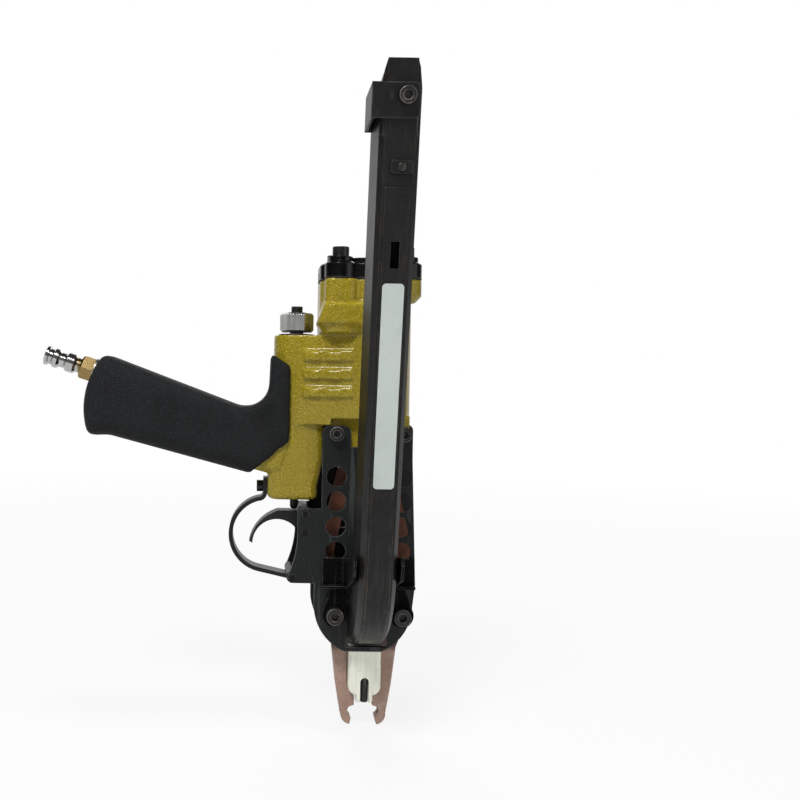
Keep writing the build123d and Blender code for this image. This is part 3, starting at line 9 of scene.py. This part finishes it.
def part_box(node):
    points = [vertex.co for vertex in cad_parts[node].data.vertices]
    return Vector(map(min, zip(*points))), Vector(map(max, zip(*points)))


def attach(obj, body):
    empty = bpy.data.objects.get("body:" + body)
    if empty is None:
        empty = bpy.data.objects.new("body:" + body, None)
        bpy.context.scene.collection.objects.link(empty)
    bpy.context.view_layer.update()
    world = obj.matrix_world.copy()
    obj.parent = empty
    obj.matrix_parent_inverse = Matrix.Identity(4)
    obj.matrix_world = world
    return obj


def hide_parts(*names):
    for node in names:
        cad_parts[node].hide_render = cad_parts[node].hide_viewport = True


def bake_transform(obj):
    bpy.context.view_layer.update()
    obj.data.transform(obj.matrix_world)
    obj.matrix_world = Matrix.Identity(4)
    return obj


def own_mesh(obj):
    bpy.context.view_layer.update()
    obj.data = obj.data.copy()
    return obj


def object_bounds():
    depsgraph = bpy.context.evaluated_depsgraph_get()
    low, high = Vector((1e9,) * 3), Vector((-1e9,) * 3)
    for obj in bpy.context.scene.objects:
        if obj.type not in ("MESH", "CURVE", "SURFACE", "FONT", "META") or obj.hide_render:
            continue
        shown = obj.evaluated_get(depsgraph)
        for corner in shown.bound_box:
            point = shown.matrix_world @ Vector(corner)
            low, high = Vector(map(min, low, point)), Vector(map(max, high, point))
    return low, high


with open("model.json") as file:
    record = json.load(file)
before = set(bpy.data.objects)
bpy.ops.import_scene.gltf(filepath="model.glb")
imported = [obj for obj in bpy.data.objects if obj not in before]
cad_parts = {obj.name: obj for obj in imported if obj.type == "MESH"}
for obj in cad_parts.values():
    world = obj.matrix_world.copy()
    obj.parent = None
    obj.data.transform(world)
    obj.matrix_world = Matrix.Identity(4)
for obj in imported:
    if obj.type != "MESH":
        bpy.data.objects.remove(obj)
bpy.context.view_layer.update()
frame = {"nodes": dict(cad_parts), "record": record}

scene = bpy.context.scene
scene.view_settings.view_transform = "Standard"
MM = 0.001


# Shader maths
class Wire:
    """One output of a node; arithmetic on it adds Math nodes."""

    def __init__(self, nodes, socket):
        self.nodes = nodes
        self.socket = socket

    def maths(self, operation, first, second):
        return self.nodes.add("ShaderNodeMath", {"operation": operation}, {0: first, 1: second})["Value"]

    def __add__(self, other):
        return self.maths("ADD", self, other)

    def __radd__(self, other):
        return self.maths("ADD", other, self)

    def __sub__(self, other):
        return self.maths("SUBTRACT", self, other)

    def __rsub__(self, other):
        return self.maths("SUBTRACT", other, self)

    def __mul__(self, other):
        return self.maths("MULTIPLY", self, other)

    def __rmul__(self, other):
        return self.maths("MULTIPLY", other, self)


class Outputs:
    """The outputs of one node, by name or number."""

    def __init__(self, nodes, node):
        self.nodes = nodes
        self.node = node

    def __getitem__(self, key):
        return Wire(self.nodes, self.node.outputs[key])


class Nodes:
    """A node tree that nodes are added to."""

    def __init__(self, tree):
        self.tree = tree

    def add(self, kind, settings=None, inputs=None):
        """Add a node: its settings first, then the values or wires of its sockets."""
        node = self.tree.nodes.new(kind)
        for key, value in (settings or {}).items():
            setattr(node, key, value)
        for key, value in (inputs or {}).items():
            self.feed(node.inputs[key], value)
        return Outputs(self, node)

    def feed(self, socket, value):
        if isinstance(value, Wire):
            self.tree.links.new(value.socket, socket)
        else:
            socket.default_value = value

    def ramp(self, value, low, high):
        """Value rescaled so that low gives 0 and high gives 1, clamped."""
        inputs = {"Value": value, "From Min": low, "From Max": high}
        return self.add("ShaderNodeMapRange", {"clamp": True}, inputs)["Result"]


class Finish(Nodes):
    """One material: a Principled shader and the nodes that feed it."""

    def __init__(self, name):
        self.name = name
        self.material = bpy.data.materials.new(name)
        self.material.use_nodes = True
        super().__init__(self.material.node_tree)
        self.shader = self.tree.nodes["Principled BSDF"]
        self.place = self.add("ShaderNodeTexCoord")["Object"]

    def set(self, **values):
        """Set the shader's sockets; an underscore stands for a space."""
        for key, value in values.items():
            self.feed(self.shader.inputs[key.replace("_", " ")], value)
        return self

    def noise(self, scale, detail=2.0, rough=0.5, place=None):
        inputs = {"Vector": place or self.place, "Scale": scale, "Detail": detail, "Roughness": rough}
        return self.add("ShaderNodeTexNoise", None, inputs)["Fac"]

    def cells(self, scale):
        return self.add("ShaderNodeTexVoronoi", None, {"Vector": self.place, "Scale": scale})["Distance"]

    def stretch(self, x, y, z):
        """Object coordinates stretched along the axes."""
        inputs = {0: self.place, 1: (x, y, z)}
        return self.add("ShaderNodeVectorMath", {"operation": "MULTIPLY"}, inputs)["Vector"]

    def mix(self, share, first, second):
        """Colour between two colours."""
        return self.add("ShaderNodeMix", {"data_type": "RGBA"}, {0: share, 6: first, 7: second})[2]

    def axis(self, name):
        return self.add("ShaderNodeSeparateXYZ", None, {0: self.place})[name]

    def rounded(self, radius):
        """Normal of the surface with its edges rounded."""
        return self.add("ShaderNodeBevel", {"samples": 6}, {"Radius": radius})["Normal"]

    def edges(self, radius, low, high):
        """1 along the edges of a piece and 0 on its faces."""
        flat = self.add("ShaderNodeNewGeometry")["Normal"]
        inputs = {0: self.rounded(radius), 1: flat}
        facing = self.add("ShaderNodeVectorMath", {"operation": "DOT_PRODUCT"}, inputs)["Value"]
        return self.ramp(1 - facing, low, high)

    def open_air(self, reach):
        """1 on open faces and less in the creases and sockets of a piece."""
        settings = {"samples": 6, "only_local": True}
        return self.add("ShaderNodeAmbientOcclusion", settings, {"Distance": reach})["AO"]

    def bump(self, height, depth, strength, normal=None):
        inputs = {"Height": height, "Distance": depth, "Strength": strength}
        if normal:
            inputs["Normal"] = normal
        return self.add("ShaderNodeBump", None, inputs)["Normal"]


def shade(level):
    """Grey of one level."""
    return (level, level, level, 1.0)


def times(colour, share):
    """Colour with its levels scaled."""
    return tuple(share * level for level in colour[:3]) + (1.0,)


# Finishes
def gold_paint():
    """Fine hammered gold paint on a casting, with painted glints in its grain, painted shade in the
    creases, and rubbed on the edges.
    """
    f = Finish("gold_paint")
    grain = f.noise(2600, rough=0.6)
    dimple = f.cells(1250)
    broad = f.noise(26, detail=3.0)
    painted_glint = f.ramp(f.noise(1300, rough=0.6), 0.52, 0.62)
    pit = f.ramp(f.noise(1250, rough=0.55), 0.47, 0.36)
    air = f.open_air(3.0 * MM)
    patch = f.ramp(f.noise(150, detail=3.0), 0.38, 0.58)
    worn = f.edges(2.2 * MM, 0.02, 0.2) * patch * f.ramp(air, 0.6, 0.9)
    colour = f.mix(broad, (0.230, 0.171, 0.003, 1), (0.310, 0.235, 0.006, 1))
    colour = f.mix(pit * 0.42, colour, (0.125, 0.090, 0.001, 1))
    # painted glints: small pale specks in the hammered grain
    colour = f.mix(painted_glint * 0.62, colour, (0.50, 0.41, 0.060, 1))
    # painted shade: the creases and the feet of the ribs darkened by occlusion
    colour = f.mix(f.ramp(air, 0.86, 0.50) * 0.75, colour, (0.055, 0.039, 0.001, 1))
    colour = f.mix(worn * 0.35, colour, (0.64, 0.57, 0.26, 1))
    rough = 0.34 + grain * 0.20
    normal = f.bump(grain * 0.5 + dimple * 1.2, depth=0.34 * MM, strength=0.8)
    f.set(Base_Color=colour, Roughness=rough, Normal=normal, Coat_Weight=0.45, Coat_Roughness=0.12)
    return f.set(Specular_IOR_Level=0.15)


def grip_rubber():
    """Matt rubber with a fine moulded grain."""
    f = Finish("grip_rubber")
    grain = f.noise(2100, rough=0.6)
    cells = f.cells(1400)
    broad = f.noise(40, detail=3.0)
    colour = f.mix(f.ramp(broad, 0.3, 0.7), (0.0060, 0.0066, 0.0072, 1), (0.0120, 0.0129, 0.0138, 1))
    colour = f.mix(f.ramp(grain, 0.53, 0.70) * 0.55, colour, (0.052, 0.055, 0.058, 1))
    rough = 0.62 + broad * 0.12
    normal = f.bump(grain + cells * 0.7, depth=0.26 * MM, strength=0.9)
    return f.set(Base_Color=colour, Roughness=rough, Normal=normal, Specular_IOR_Level=0.15)


def seal_rubber():
    """Smooth black rubber."""
    f = Finish("seal_rubber")
    broad = f.noise(90, detail=3.0)
    colour = f.mix(broad, shade(0.006), shade(0.014))
    return f.set(Base_Color=colour, Roughness=0.5 + broad * 0.2)


def bright_metal(name, dark, light, rough, edge=0.4 * MM, metal=1.0, streaky=0.4):
    """Turned or plated metal with soft streaks, smudges and patchy grime, and painted shade in its
    creases.
    """
    f = Finish(name)
    streak = f.noise(420, detail=3.0, rough=0.6, place=f.stretch(1.0, 1.0, 0.12))
    smudge = f.noise(130, detail=3.0)
    grime = f.ramp(f.noise(260, detail=4.0, rough=0.6), 0.55, 0.76)
    soot_and_shade = times(dark, 0.18)
    colour = f.mix(smudge, dark, light)
    colour = f.mix(f.ramp(streak, 0.42, 0.68) * streaky, colour, times(dark, 0.55))
    colour = f.mix(grime * 0.3, colour, soot_and_shade)
    # painted shade: creases and corners darkened by occlusion
    colour = f.mix(f.ramp(f.open_air(2.5 * MM), 0.85, 0.35) * 0.85, colour, soot_and_shade)
    level = rough + smudge * 0.12 + streak * 0.08
    normal = f.bump(streak, depth=0.03 * MM, strength=0.5, normal=f.rounded(edge))
    return f.set(Base_Color=colour, Roughness=level, Normal=normal, Metallic=metal)


def plug_chrome():
    """Bright chrome on the air plug, with a brassy hex at its inner end."""
    f = Finish("chrome")
    smudge = f.noise(160, detail=3.0)
    brass = f.ramp(f.axis("X"), -179.7 * MM, -178.7 * MM)
    air = f.open_air(2.0 * MM)
    colour = f.mix(smudge, (0.37, 0.365, 0.36, 1), (0.55, 0.545, 0.54, 1))
    colour = f.mix(brass, colour, (0.27, 0.19, 0.080, 1))
    # painted shade: creases and corners darkened by occlusion
    colour = f.mix(f.ramp(air, 0.8, 0.35) * 0.9, colour, (0.035, 0.028, 0.022, 1))
    level = 0.13 + smudge * 0.06 + brass * 0.10
    return f.set(Base_Color=colour, Roughness=level, Metallic=1.0)


def dark_metal(name, dark, light, worn_colour, rough, wear, radius=0.6 * MM, gloss=0.4, rubbed=None):
    """Blackened steel with pits and scratches, worn on its edges, with painted shade in its creases and
    sockets, and streaked below a rubbed height.
    """
    f = Finish(name)
    smudge = f.noise(55, detail=4.0, rough=0.6)
    grain = f.noise(1700)
    patch = f.ramp(f.noise(190, detail=3.0), 0.36, 0.58)
    air = f.open_air(2.2 * MM)
    worn = f.edges(radius, 0.02, 0.22) * (0.2 + patch * 0.8) * f.ramp(air, 0.5, 0.85)
    scratch = f.ramp(f.noise(300, place=f.stretch(1.0, 1.0, 0.06)), 0.60, 0.72)
    pit = f.ramp(f.cells(330), 0.14, 0.06)
    colour = f.mix(f.ramp(smudge, 0.3, 0.7), dark, light)
    colour = f.mix(f.ramp(grain, 0.55, 0.75) * 0.35, colour, times(light, 3))
    colour = f.mix(pit * (0.22 * wear), colour, worn_colour)
    colour = f.mix(scratch * (0.16 * wear), colour, worn_colour)
    # painted shade: creases and screw sockets darkened by occlusion
    colour = f.mix(f.ramp(air, 0.85, 0.45) * 0.95, colour, shade(0.0010))
    if rubbed:
        fade = 50 * MM
        lower = f.ramp(f.axis("Z"), rubbed, rubbed - fade)
        streak = f.ramp(f.noise(420, detail=3.0, rough=0.6, place=f.stretch(1.0, 0.10, 0.10)), 0.45, 0.70)
        colour = f.mix(streak * lower * 0.30, colour, (0.060, 0.060, 0.058, 1))
        worn = worn * (1 + lower * 2.2)
    colour = f.mix(f.ramp(worn * wear, 0.0, 1.0), colour, worn_colour)
    level = rough + smudge * 0.14 + grain * 0.08
    normal = f.bump(grain - pit * 0.8, depth=0.06 * MM, strength=0.5, normal=f.rounded(radius))
    return f.set(Base_Color=colour, Roughness=level, Normal=normal, Specular_IOR_Level=gloss)


def jaw_copper():
    """Heat treated steel with a copper brown film, with painted shade near black round the pivots between
    the plates, redder and darker above them with painted shade, and painted shade along its edges.
    """
    f = Finish("jaw_copper")
    smudge = f.noise(120, detail=4.0, rough=0.6)
    grain = f.noise(1300)
    edge = f.edges(0.7 * MM, 0.03, 0.3)
    height = f.axis("Z")
    tail_film_and_shade = f.ramp(height, 40 * MM, 55 * MM)
    between_plates_shade = f.ramp(height, 34.5 * MM, 38.5 * MM) * f.ramp(height, 80 * MM, 70 * MM)
    cloud = f.ramp(smudge, 0.3, 0.7)
    colour = f.mix(cloud, (0.350, 0.219, 0.167, 1), (0.485, 0.335, 0.270, 1))
    # darker and redder copper above 40 mm: a redder film with painted shade, where the jaws sit between
    # the plates
    copper = f.mix(cloud, (0.125, 0.038, 0.016, 1), (0.185, 0.066, 0.032, 1))
    colour = f.mix(tail_film_and_shade, colour, copper)
    colour = f.mix(f.ramp(grain, 0.35, 0.7) * 0.35, colour, (0.130, 0.068, 0.044, 1))
    # painted shade: darker along the bevels
    colour = f.mix(edge * 0.65, colour, (0.070, 0.038, 0.026, 1))
    # painted shade: near black between the plates, from just above the nose up round the pivots
    colour = f.mix(between_plates_shade * 0.85, colour, (0.016, 0.010, 0.008, 1))
    level = 0.42 + smudge * 0.16
    normal = f.bump(grain, depth=0.06 * MM, strength=0.5, normal=f.rounded(0.5 * MM))
    return f.set(Base_Color=colour, Roughness=level, Normal=normal, Metallic=0.15)


def bare_label():
    """Pale label film, a little smeared."""
    f = Finish("bare_label")
    broad = f.noise(40, detail=3.0)
    grain = f.noise(900)
    smear = f.ramp(f.noise(75, detail=4.0, rough=0.6), 0.55, 0.80)
    colour = f.mix(broad, (0.49, 0.545, 0.515, 1), (0.59, 0.645, 0.61, 1))
    colour = f.mix(smear * 0.25, colour, (0.30, 0.33, 0.31, 1))
    normal = f.bump(grain + broad * 2.0, depth=0.04 * MM, strength=0.4)
    return f.set(Base_Color=colour, Roughness=0.34 + grain * 0.1, Normal=normal, Coat_Weight=0.2)


# Bare metal under the black
COPPER_WEAR = (0.26, 0.205, 0.165, 1)
RIM_WEAR = (0.46, 0.39, 0.34, 1)
STEEL_WEAR = (0.24, 0.25, 0.25, 1)

ALL_FINISHES = [
    gold_paint(),
    grip_rubber(),
    seal_rubber(),
    plug_chrome(),
    bright_metal("bright_steel", (0.66, 0.66, 0.63, 1), (0.92, 0.92, 0.89, 1), 0.18, streaky=0.6),
    bright_metal("bronze", (0.30, 0.19, 0.08, 1), (0.46, 0.32, 0.15, 1), 0.26),
    bright_metal("bare_aluminium", shade(0.34), shade(0.52), 0.24),
    bright_metal(
        "zinc_guide", (0.80, 0.81, 0.69, 1), (0.96, 0.97, 0.86, 1),
        rough=0.30, edge=0.8 * MM, metal=0.35, streaky=0.22,
    ),
    dark_metal(
        "cap_black", shade(0.0015), shade(0.0030), shade(0.05),
        rough=0.15, wear=0.35, radius=0.8 * MM, gloss=0.28,
    ),
    dark_metal(
        "black_screws", shade(0.004), shade(0.009), RIM_WEAR,
        rough=0.26, wear=1.0, radius=0.9 * MM,
    ),
    dark_metal(
        "pin_black", shade(0.0020), shade(0.0045), STEEL_WEAR,
        rough=0.35, wear=0.5, radius=0.4 * MM, gloss=0.2,
    ),
    dark_metal(
        "plate_black", (0.0032, 0.0042, 0.0042, 1), (0.0080, 0.0098, 0.0098, 1), STEEL_WEAR,
        rough=0.38, wear=0.8, gloss=0.3,
    ),
    # near black and almost without gloss: a painted dark reflection on the bracket and rail, darker than
    # the plates
    dark_metal(
        "bracket_black_dark_reflection", shade(0.0009), shade(0.0020), STEEL_WEAR,
        rough=0.50, wear=0.7, gloss=0.08,
    ),
    dark_metal(
        "magazine_black", (0.0062, 0.0062, 0.0060, 1), (0.0125, 0.0124, 0.0120, 1), COPPER_WEAR,
        rough=0.26, wear=0.25, radius=1.0 * MM, gloss=0.20, rubbed=130 * MM,
    ),
    dark_metal(
        "clip_black", shade(0.0045), shade(0.0095), STEEL_WEAR,
        rough=0.30, wear=0.35, radius=1.5 * MM, gloss=0.25,
    ),
    dark_metal(
        "trigger_black", (0.006, 0.0065, 0.0075, 1), (0.013, 0.014, 0.016, 1), STEEL_WEAR,
        rough=0.30, wear=0.6, gloss=0.25,
    ),
    jaw_copper(),
    bare_label(),
]
FINISHES = {finish.name: finish.material for finish in ALL_FINISHES}

# Nodes whose finish differs from their material slot
OWN_FINISH = {
    "guide_finger": "black_screws",
    "exhaust_washer": "black_screws",
    "valve_stem": "trigger_black",
    "trigger_pins": "pin_black",
    "guard_pin": "pin_black",
    "magazine_bracket": "bracket_black_dark_reflection",
    "magazine_rail": "bracket_black_dark_reflection",
    "magazine_clip": "clip_black",
}
for row in frame["record"]["subparts"]:
    finish = OWN_FINISH.get(row["node"], row["material_slot"])
    for place in frame["nodes"][row["node"]].material_slots:
        place.material = FINISHES[finish]


# Softened forms and springs
LEAN = radians(12.4)
MAG_UP = Vector((0, -sin(LEAN), cos(LEAN)))
MAG_BACK = Vector((0, cos(LEAN), sin(LEAN)))


def finish_piece(piece, slot):
    """Link a new piece and give it the finish of one of the record's material slots."""
    scene.collection.objects.link(piece)
    piece.data.materials.clear()
    piece.data.materials.append(FINISHES[slot])
    return piece


def smooth_faces(mesh):
    for face in mesh.polygons:
        face.use_smooth = True


def softened(name, node, slot, voxel, rounds, share):
    """Copy of a node with its edges and creases run into each other, which stands for the node."""
    piece = bpy.data.objects.new(name, frame["nodes"][node].data.copy())
    finish_piece(piece, slot)
    even = piece.modifiers.new("even", "REMESH")
    even.mode = "VOXEL"
    even.voxel_size = voxel
    soft = piece.modifiers.new("soft", "SMOOTH")
    soft.factor = 0.5
    soft.iterations = rounds
    fewer = piece.modifiers.new("fewer", "DECIMATE")
    fewer.ratio = share
    seen = piece.evaluated_get(bpy.context.evaluated_depsgraph_get())
    mesh = bpy.data.meshes.new_from_object(seen)
    piece.modifiers.clear()
    piece.data = mesh
    mesh.materials.clear()
    mesh.materials.append(FINISHES[slot])
    for face in mesh.polygons:
        face.material_index = 0
    smooth_faces(mesh)
    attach(piece, "frame")
    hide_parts(node)


def wall_heads():
    """The magazine's side walls carried on up behind the clip, tapering in to the front sheet's end."""
    front_half, wall_inside, slope = 7.85 * MM, 7 * MM, 5.8
    nearest, farthest, facing_up = 20 * MM, 60 * MM, 0.98
    build = bmesh.new()
    build.from_mesh(frame["nodes"]["magazine_channel"].data)
    bmesh.ops.remove_doubles(build, verts=build.verts, dist=0.001 * MM)
    top = max(point.co.dot(MAG_UP) for point in build.verts)

    def is_wall_end(face):
        """Whether a face is the end of a side wall, well below the upper end of the front sheet."""
        middle = face.calc_center_median()
        at_side = abs(middle.x) > wall_inside
        at_height = nearest < top - middle.dot(MAG_UP) < farthest
        return at_side and at_height and face.normal.dot(MAG_UP) > facing_up

    others = [face for face in build.faces if not is_wall_end(face)]
    bmesh.ops.delete(build, geom=others, context="FACES")
    grown = bmesh.ops.extrude_face_region(build, geom=build.faces[:], use_keep_orig=True)
    for item in grown["geom"]:
        if isinstance(item, bmesh.types.BMVert):
            beyond = max(abs(item.co.x) - front_half, 0.0)
            item.co += MAG_UP * (top - item.co.dot(MAG_UP) - slope * beyond)
    bmesh.ops.recalc_face_normals(build, faces=build.faces)
    mesh = bpy.data.meshes.new("wall_heads")
    build.to_mesh(mesh)
    build.free()
    piece = finish_piece(bpy.data.objects.new("wall_heads", mesh), "magazine_black")
    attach(piece, "frame")


def wire_piece(name, points, radius, slot):
    """Round wire along a run of points, as a mesh."""
    curve = bpy.data.curves.new(f"{name}_line", "CURVE")
    curve.dimensions = "3D"
    curve.bevel_depth = radius
    curve.bevel_resolution = 3
    curve.use_fill_caps = True
    line = curve.splines.new("POLY")
    line.points.add(len(points) - 1)
    for spot, point in zip(line.points, points):
        spot.co = (*point, 1.0)
    carrier = bpy.data.objects.new(f"{name}_line", curve)
    piece = bpy.data.objects.new(name, bpy.data.meshes.new_from_object(carrier))
    bpy.data.objects.remove(carrier)
    bpy.data.curves.remove(curve)
    smooth_faces(piece.data)
    return finish_piece(piece, slot)


def helix(centre, axis, side, radius, pitch, first, last, steps=28):
    """Points of a helix between two counts of turns, starting on its side direction."""
    other = axis.cross(side)
    points = []
    for step in range(round((last - first) * steps) + 1):
        turn = first + step / steps
        angle = 2 * pi * turn
        round_axis = side * (radius * cos(angle)) + other * (radius * sin(angle))
        points.append(centre + round_axis + axis * (pitch * turn))
    return points


def lead(start, leave, end, arrive, steps=14, pull=0.45):
    """Points of a smooth run between two points with given directions, without its ends."""
    reach = (end - start).length * pull
    first, last = start + leave * reach, end - arrive * reach
    points = []
    for step in range(1, steps):
        t = step / steps
        near_start = start * (1 - t) ** 3 + first * (3 * t * (1 - t) ** 2)
        near_end = last * (3 * t * t * (1 - t)) + end * t ** 3
        points.append(near_start + near_end)
    return points


def jaw_return_spring():
    """Coil with a hook round the post of each jaw, made in two halves."""
    low, high = (Vector(c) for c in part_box("jaw_spring"))
    middle = (low + high) / 2
    wire, coil, hook, turns, pitch, slant = 0.6 * MM, 3.2 * MM, 2.9 * MM, 7, 2.4 * MM, 0.12
    # degrees: where a hook starts below its post, and how far each step goes round it
    hook_foot, hook_step, hook_steps = 270, 9, 30
    post = (high.x - low.x) / 2 - hook - wire
    across, down, back = Vector((1, 0, 0)), Vector((0, 0, -1)), Vector((0, 1, 0))
    along_wire = (back + across * slant).normalized()
    start = middle - across * (turns * pitch / 2)
    coil_start, coil_end = start + down * coil, start + down * coil + across * (turns * pitch)
    for hand, side in (("left", -1), ("right", 1)):
        centre = middle + across * (side * post)
        foot = centre + down * hook
        loop = []
        for step in range(hook_steps + 1):
            angle = radians(hook_foot + side * hook_step * step)
            loop.append(centre + Vector((cos(angle), 0, sin(angle))) * hook)
        if side < 0:
            bend = lead(foot, across, coil_start, along_wire)
            points = loop[::-1] + bend + helix(start, across, down, coil, pitch, 0, turns / 2)
        else:
            bend = lead(coil_end, along_wire, foot, across)
            points = helix(start, across, down, coil, pitch, turns / 2, turns) + bend + loop
        piece = wire_piece(f"{hand}_spring_half", points, wire, "bright_steel")
        hook_inside = centre - across * (side * hook)
        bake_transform(piece)
        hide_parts("jaw_spring")


def valve_return_spring():
    """Coil with closed ends between the valve stem and the top of its sleeve."""
    low, high = (Vector(c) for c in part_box("valve_spring"))
    wire, lift = 0.45 * MM, 1.4 * MM
    turns, closed, steps = 7, 0.9, 30
    radius = (high.x - low.x) / 2 - wire
    tall = high.z - low.z
    open_rise = tall - 2 * wire - 4 * wire * closed
    centre = Vector(((low.x + high.x) / 2, (low.y + high.y) / 2, low.z + wire))
    points = []
    for step in range(turns * steps + 1):
        turn = step / steps
        share = min(max((turn - closed) / (turns - 2 * closed), 0.0), 1.0)
        closed_rise = 2 * wire * (min(turn, closed) + max(turn - turns + closed, 0.0))
        z = closed_rise + share * open_rise
        points.append(centre + Vector((radius * cos(2 * pi * turn), radius * sin(2 * pi * turn), z)))
    piece = wire_piece("valve_coil", points, wire, "bright_steel")
    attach(piece, "frame")
    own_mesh(piece)
    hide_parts("valve_spring")


def feed_strip_spring():
    """Thin strip along the magazine rail, wound into a roll that the pusher carries."""
    low, high = (Vector(c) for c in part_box("feed_spring"))
    half, thick, foot_gap = (high.x - low.x) / 2, 0.3 * MM, 0.2 * MM
    roll, core, room, turns = 2.2 * MM, 0.7 * MM, 2.4 * MM, 3.2
    straight_steps, roll_steps = 12, 26
    # shares: the half width inside the strip's edges, and the length below the roll that stretches
    inside, stretching = 0.9, 0.75
    # the roll lies against the node's upper rear edge, and the strip runs down from its front
    centre = Vector((0, high.y - room, high.z - room))
    head = centre - MAG_BACK * roll
    long = (head.z - low.z) / MAG_UP.z - foot_gap
    foot = head - MAG_UP * long
    path = [foot + MAG_UP * (long * step / straight_steps) for step in range(straight_steps + 1)]
    for step in range(1, round(turns * roll_steps) + 1):
        angle = 2 * pi * step / roll_steps
        radius = roll - (roll - core) * step / (turns * roll_steps)
        path.append(centre - MAG_BACK * (radius * cos(angle)) + MAG_UP * (radius * sin(angle)))
    across = [Vector((side * half, 0, 0)) for side in (-1, -inside, inside, 1)]
    build = bmesh.new()
    rows = [[build.verts.new(point + offset) for offset in across] for point in path]
    for a, b in zip(rows, rows[1:]):
        for i in range(len(across) - 1):
            build.faces.new((a[i], a[i + 1], b[i + 1], b[i]))
    mesh = bpy.data.meshes.new("feed_strip")
    build.to_mesh(mesh)
    build.free()
    piece = finish_piece(bpy.data.objects.new("feed_strip", mesh), "bright_steel")
    solid = piece.modifiers.new("thickness", "SOLIDIFY")
    solid.thickness = thick
    solid.offset = 0.0
    smooth_faces(mesh)
    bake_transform(piece)
    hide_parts("feed_spring")


softened("rubber_sleeve", "handle_grip", "grip_rubber", voxel=1.1 * MM, rounds=22, share=0.35)
softened("cast_body", "body_casting", "gold_paint", voxel=0.8 * MM, rounds=3, share=0.20)
wall_heads()
jaw_return_spring()
valve_return_spring()
feed_strip_spring()


# Floor, light and camera
def stage_floor():
    """Pale floor that turns up into a backdrop behind the tool."""
    gap, half, front, back, bend, high, bend_steps = 0.5 * MM, 6.0, -6.0, 5.0, 1.0, 6.0, 8
    near, far, near_white = 0.25, 1.5, 0.85
    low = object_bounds()[0][2] - gap
    rows = [(front, 0.0), (back - bend, 0.0)]
    for step in range(1, bend_steps + 1):
        angle = radians(90 * step / bend_steps)
        rows.append((back - bend + bend * sin(angle), bend - bend * cos(angle)))
    rows.append((back, high))
    build = bmesh.new()
    lines = [[build.verts.new((x, y, low + z)) for x in (-half, half)] for y, z in rows]
    for a, b in zip(lines, lines[1:]):
        build.faces.new((a[0], a[1], b[1], b[0]))
    mesh = bpy.data.meshes.new("floor")
    build.to_mesh(mesh)
    build.free()
    floor = bpy.data.objects.new("floor", mesh)
    scene.collection.objects.link(floor)
    # white where it is seen, mirrored or seen through, but for a share near the tool that takes shadows
    f = Finish("pale_floor").set(Base_Color=shade(0.70), Roughness=0.9, Specular_IOR_Level=0.0)
    path = f.add("ShaderNodeLightPath")
    seen = path["Is Camera Ray"] + path["Is Glossy Ray"] + path["Is Transmission Ray"]
    away = f.add("ShaderNodeVectorMath", {"operation": "LENGTH"}, {0: f.place})["Value"]
    white = f.ramp(seen, 0.0, 1.0) * (near_white + f.ramp(away, near, far) * (1 - near_white))
    glow = f.add("ShaderNodeEmission", None, {"Color": shade(1.0), "Strength": 1.0})["Emission"]
    painted = Wire(f, f.shader.outputs["BSDF"])
    mixed = f.add("ShaderNodeMixShader", None, {0: white, 1: painted, 2: glow})["Shader"]
    f.feed(f.tree.nodes["Material Output"].inputs["Surface"], mixed)
    mesh.materials.append(f.material)


def lamp(name, place, aim, size, power, mirrored=True):
    """Round soft lamp, which metal mirrors or which only lights it."""
    data = bpy.data.lights.new(name, "AREA")
    data.shape = "DISK"
    data.size = size
    data.energy = power
    item = bpy.data.objects.new(name, data)
    item.location = place
    item.rotation_euler = (Vector(aim) - Vector(place)).to_track_quat("-Z", "Y").to_euler()
    item.visible_glossy = mirrored
    scene.collection.objects.link(item)


def studio_light():
    """Soft lamp high in front, a small one above for the upper edges, and weak side and rear lamps."""
    middle = (-0.05, 0.0, 0.17)
    lamp("front_lamp", (-0.45, -0.92, 1.35), middle, size=0.5, power=18.5)
    lamp("high_lamp", (-0.05, -0.14, 1.30), middle, size=0.25, power=6.0, mirrored=False)
    lamp("side_lamp", (1.05, -0.60, 0.40), middle, size=0.8, power=2.2)
    lamp("rear_lamp", (0.4, 1.1, 0.9), middle, size=0.9, power=4.0)
    # the world is white where it is seen, dim in mirrors and a weak fill elsewhere
    mirror, mirror_front, fill = 0.04, 0.10, 0.22
    world = bpy.data.worlds.new("studio")
    scene.world = world
    world.use_nodes = True
    w = Nodes(world.node_tree)
    path = w.add("ShaderNodeLightPath")
    toward = w.add("ShaderNodeTexCoord")["Generated"]
    front = w.ramp(w.add("ShaderNodeSeparateXYZ", None, {0: toward})["Y"], -0.2, -1.0)
    glossy = path["Is Glossy Ray"]
    level = glossy * (mirror + front * mirror_front) + (1 - glossy) * fill
    seen = w.ramp(path["Is Camera Ray"] + path["Is Transmission Ray"], 0.0, 1.0)
    sky = w.tree.nodes["Background"]
    w.feed(sky.inputs["Color"], shade(1.0))
    w.feed(sky.inputs["Strength"], seen + (1 - seen) * level)


def photo_camera():
    """Camera at the photograph's place: level, a little rolled, with its axis left of the middle."""
    # pixels: picture width, focal length, and where the camera's axis meets the picture
    width, focal, axis_right, axis_down = 800, 903, 255, 380
    roll, aside, tall, away = radians(0.95), -66.3 * MM, 201.5 * MM, 560 * MM
    data = bpy.data.cameras.new("camera")
    data.sensor_width = 36.0
    data.lens = focal / width * data.sensor_width
    data.shift_x = (width / 2 - axis_right) / width
    data.shift_y = (axis_down - width / 2) / width
    item = bpy.data.objects.new("camera", data)
    right = Vector((cos(roll), 0, sin(roll)))
    up = Vector((-sin(roll), 0, cos(roll)))
    back = right.cross(up)
    turn = Matrix((right, up, back)).transposed().to_4x4()
    item.matrix_world = Matrix.Translation(right * aside + up * tall + back * away) @ turn
    scene.collection.objects.link(item)
    scene.camera = item


stage_floor()
studio_light()
photo_camera()
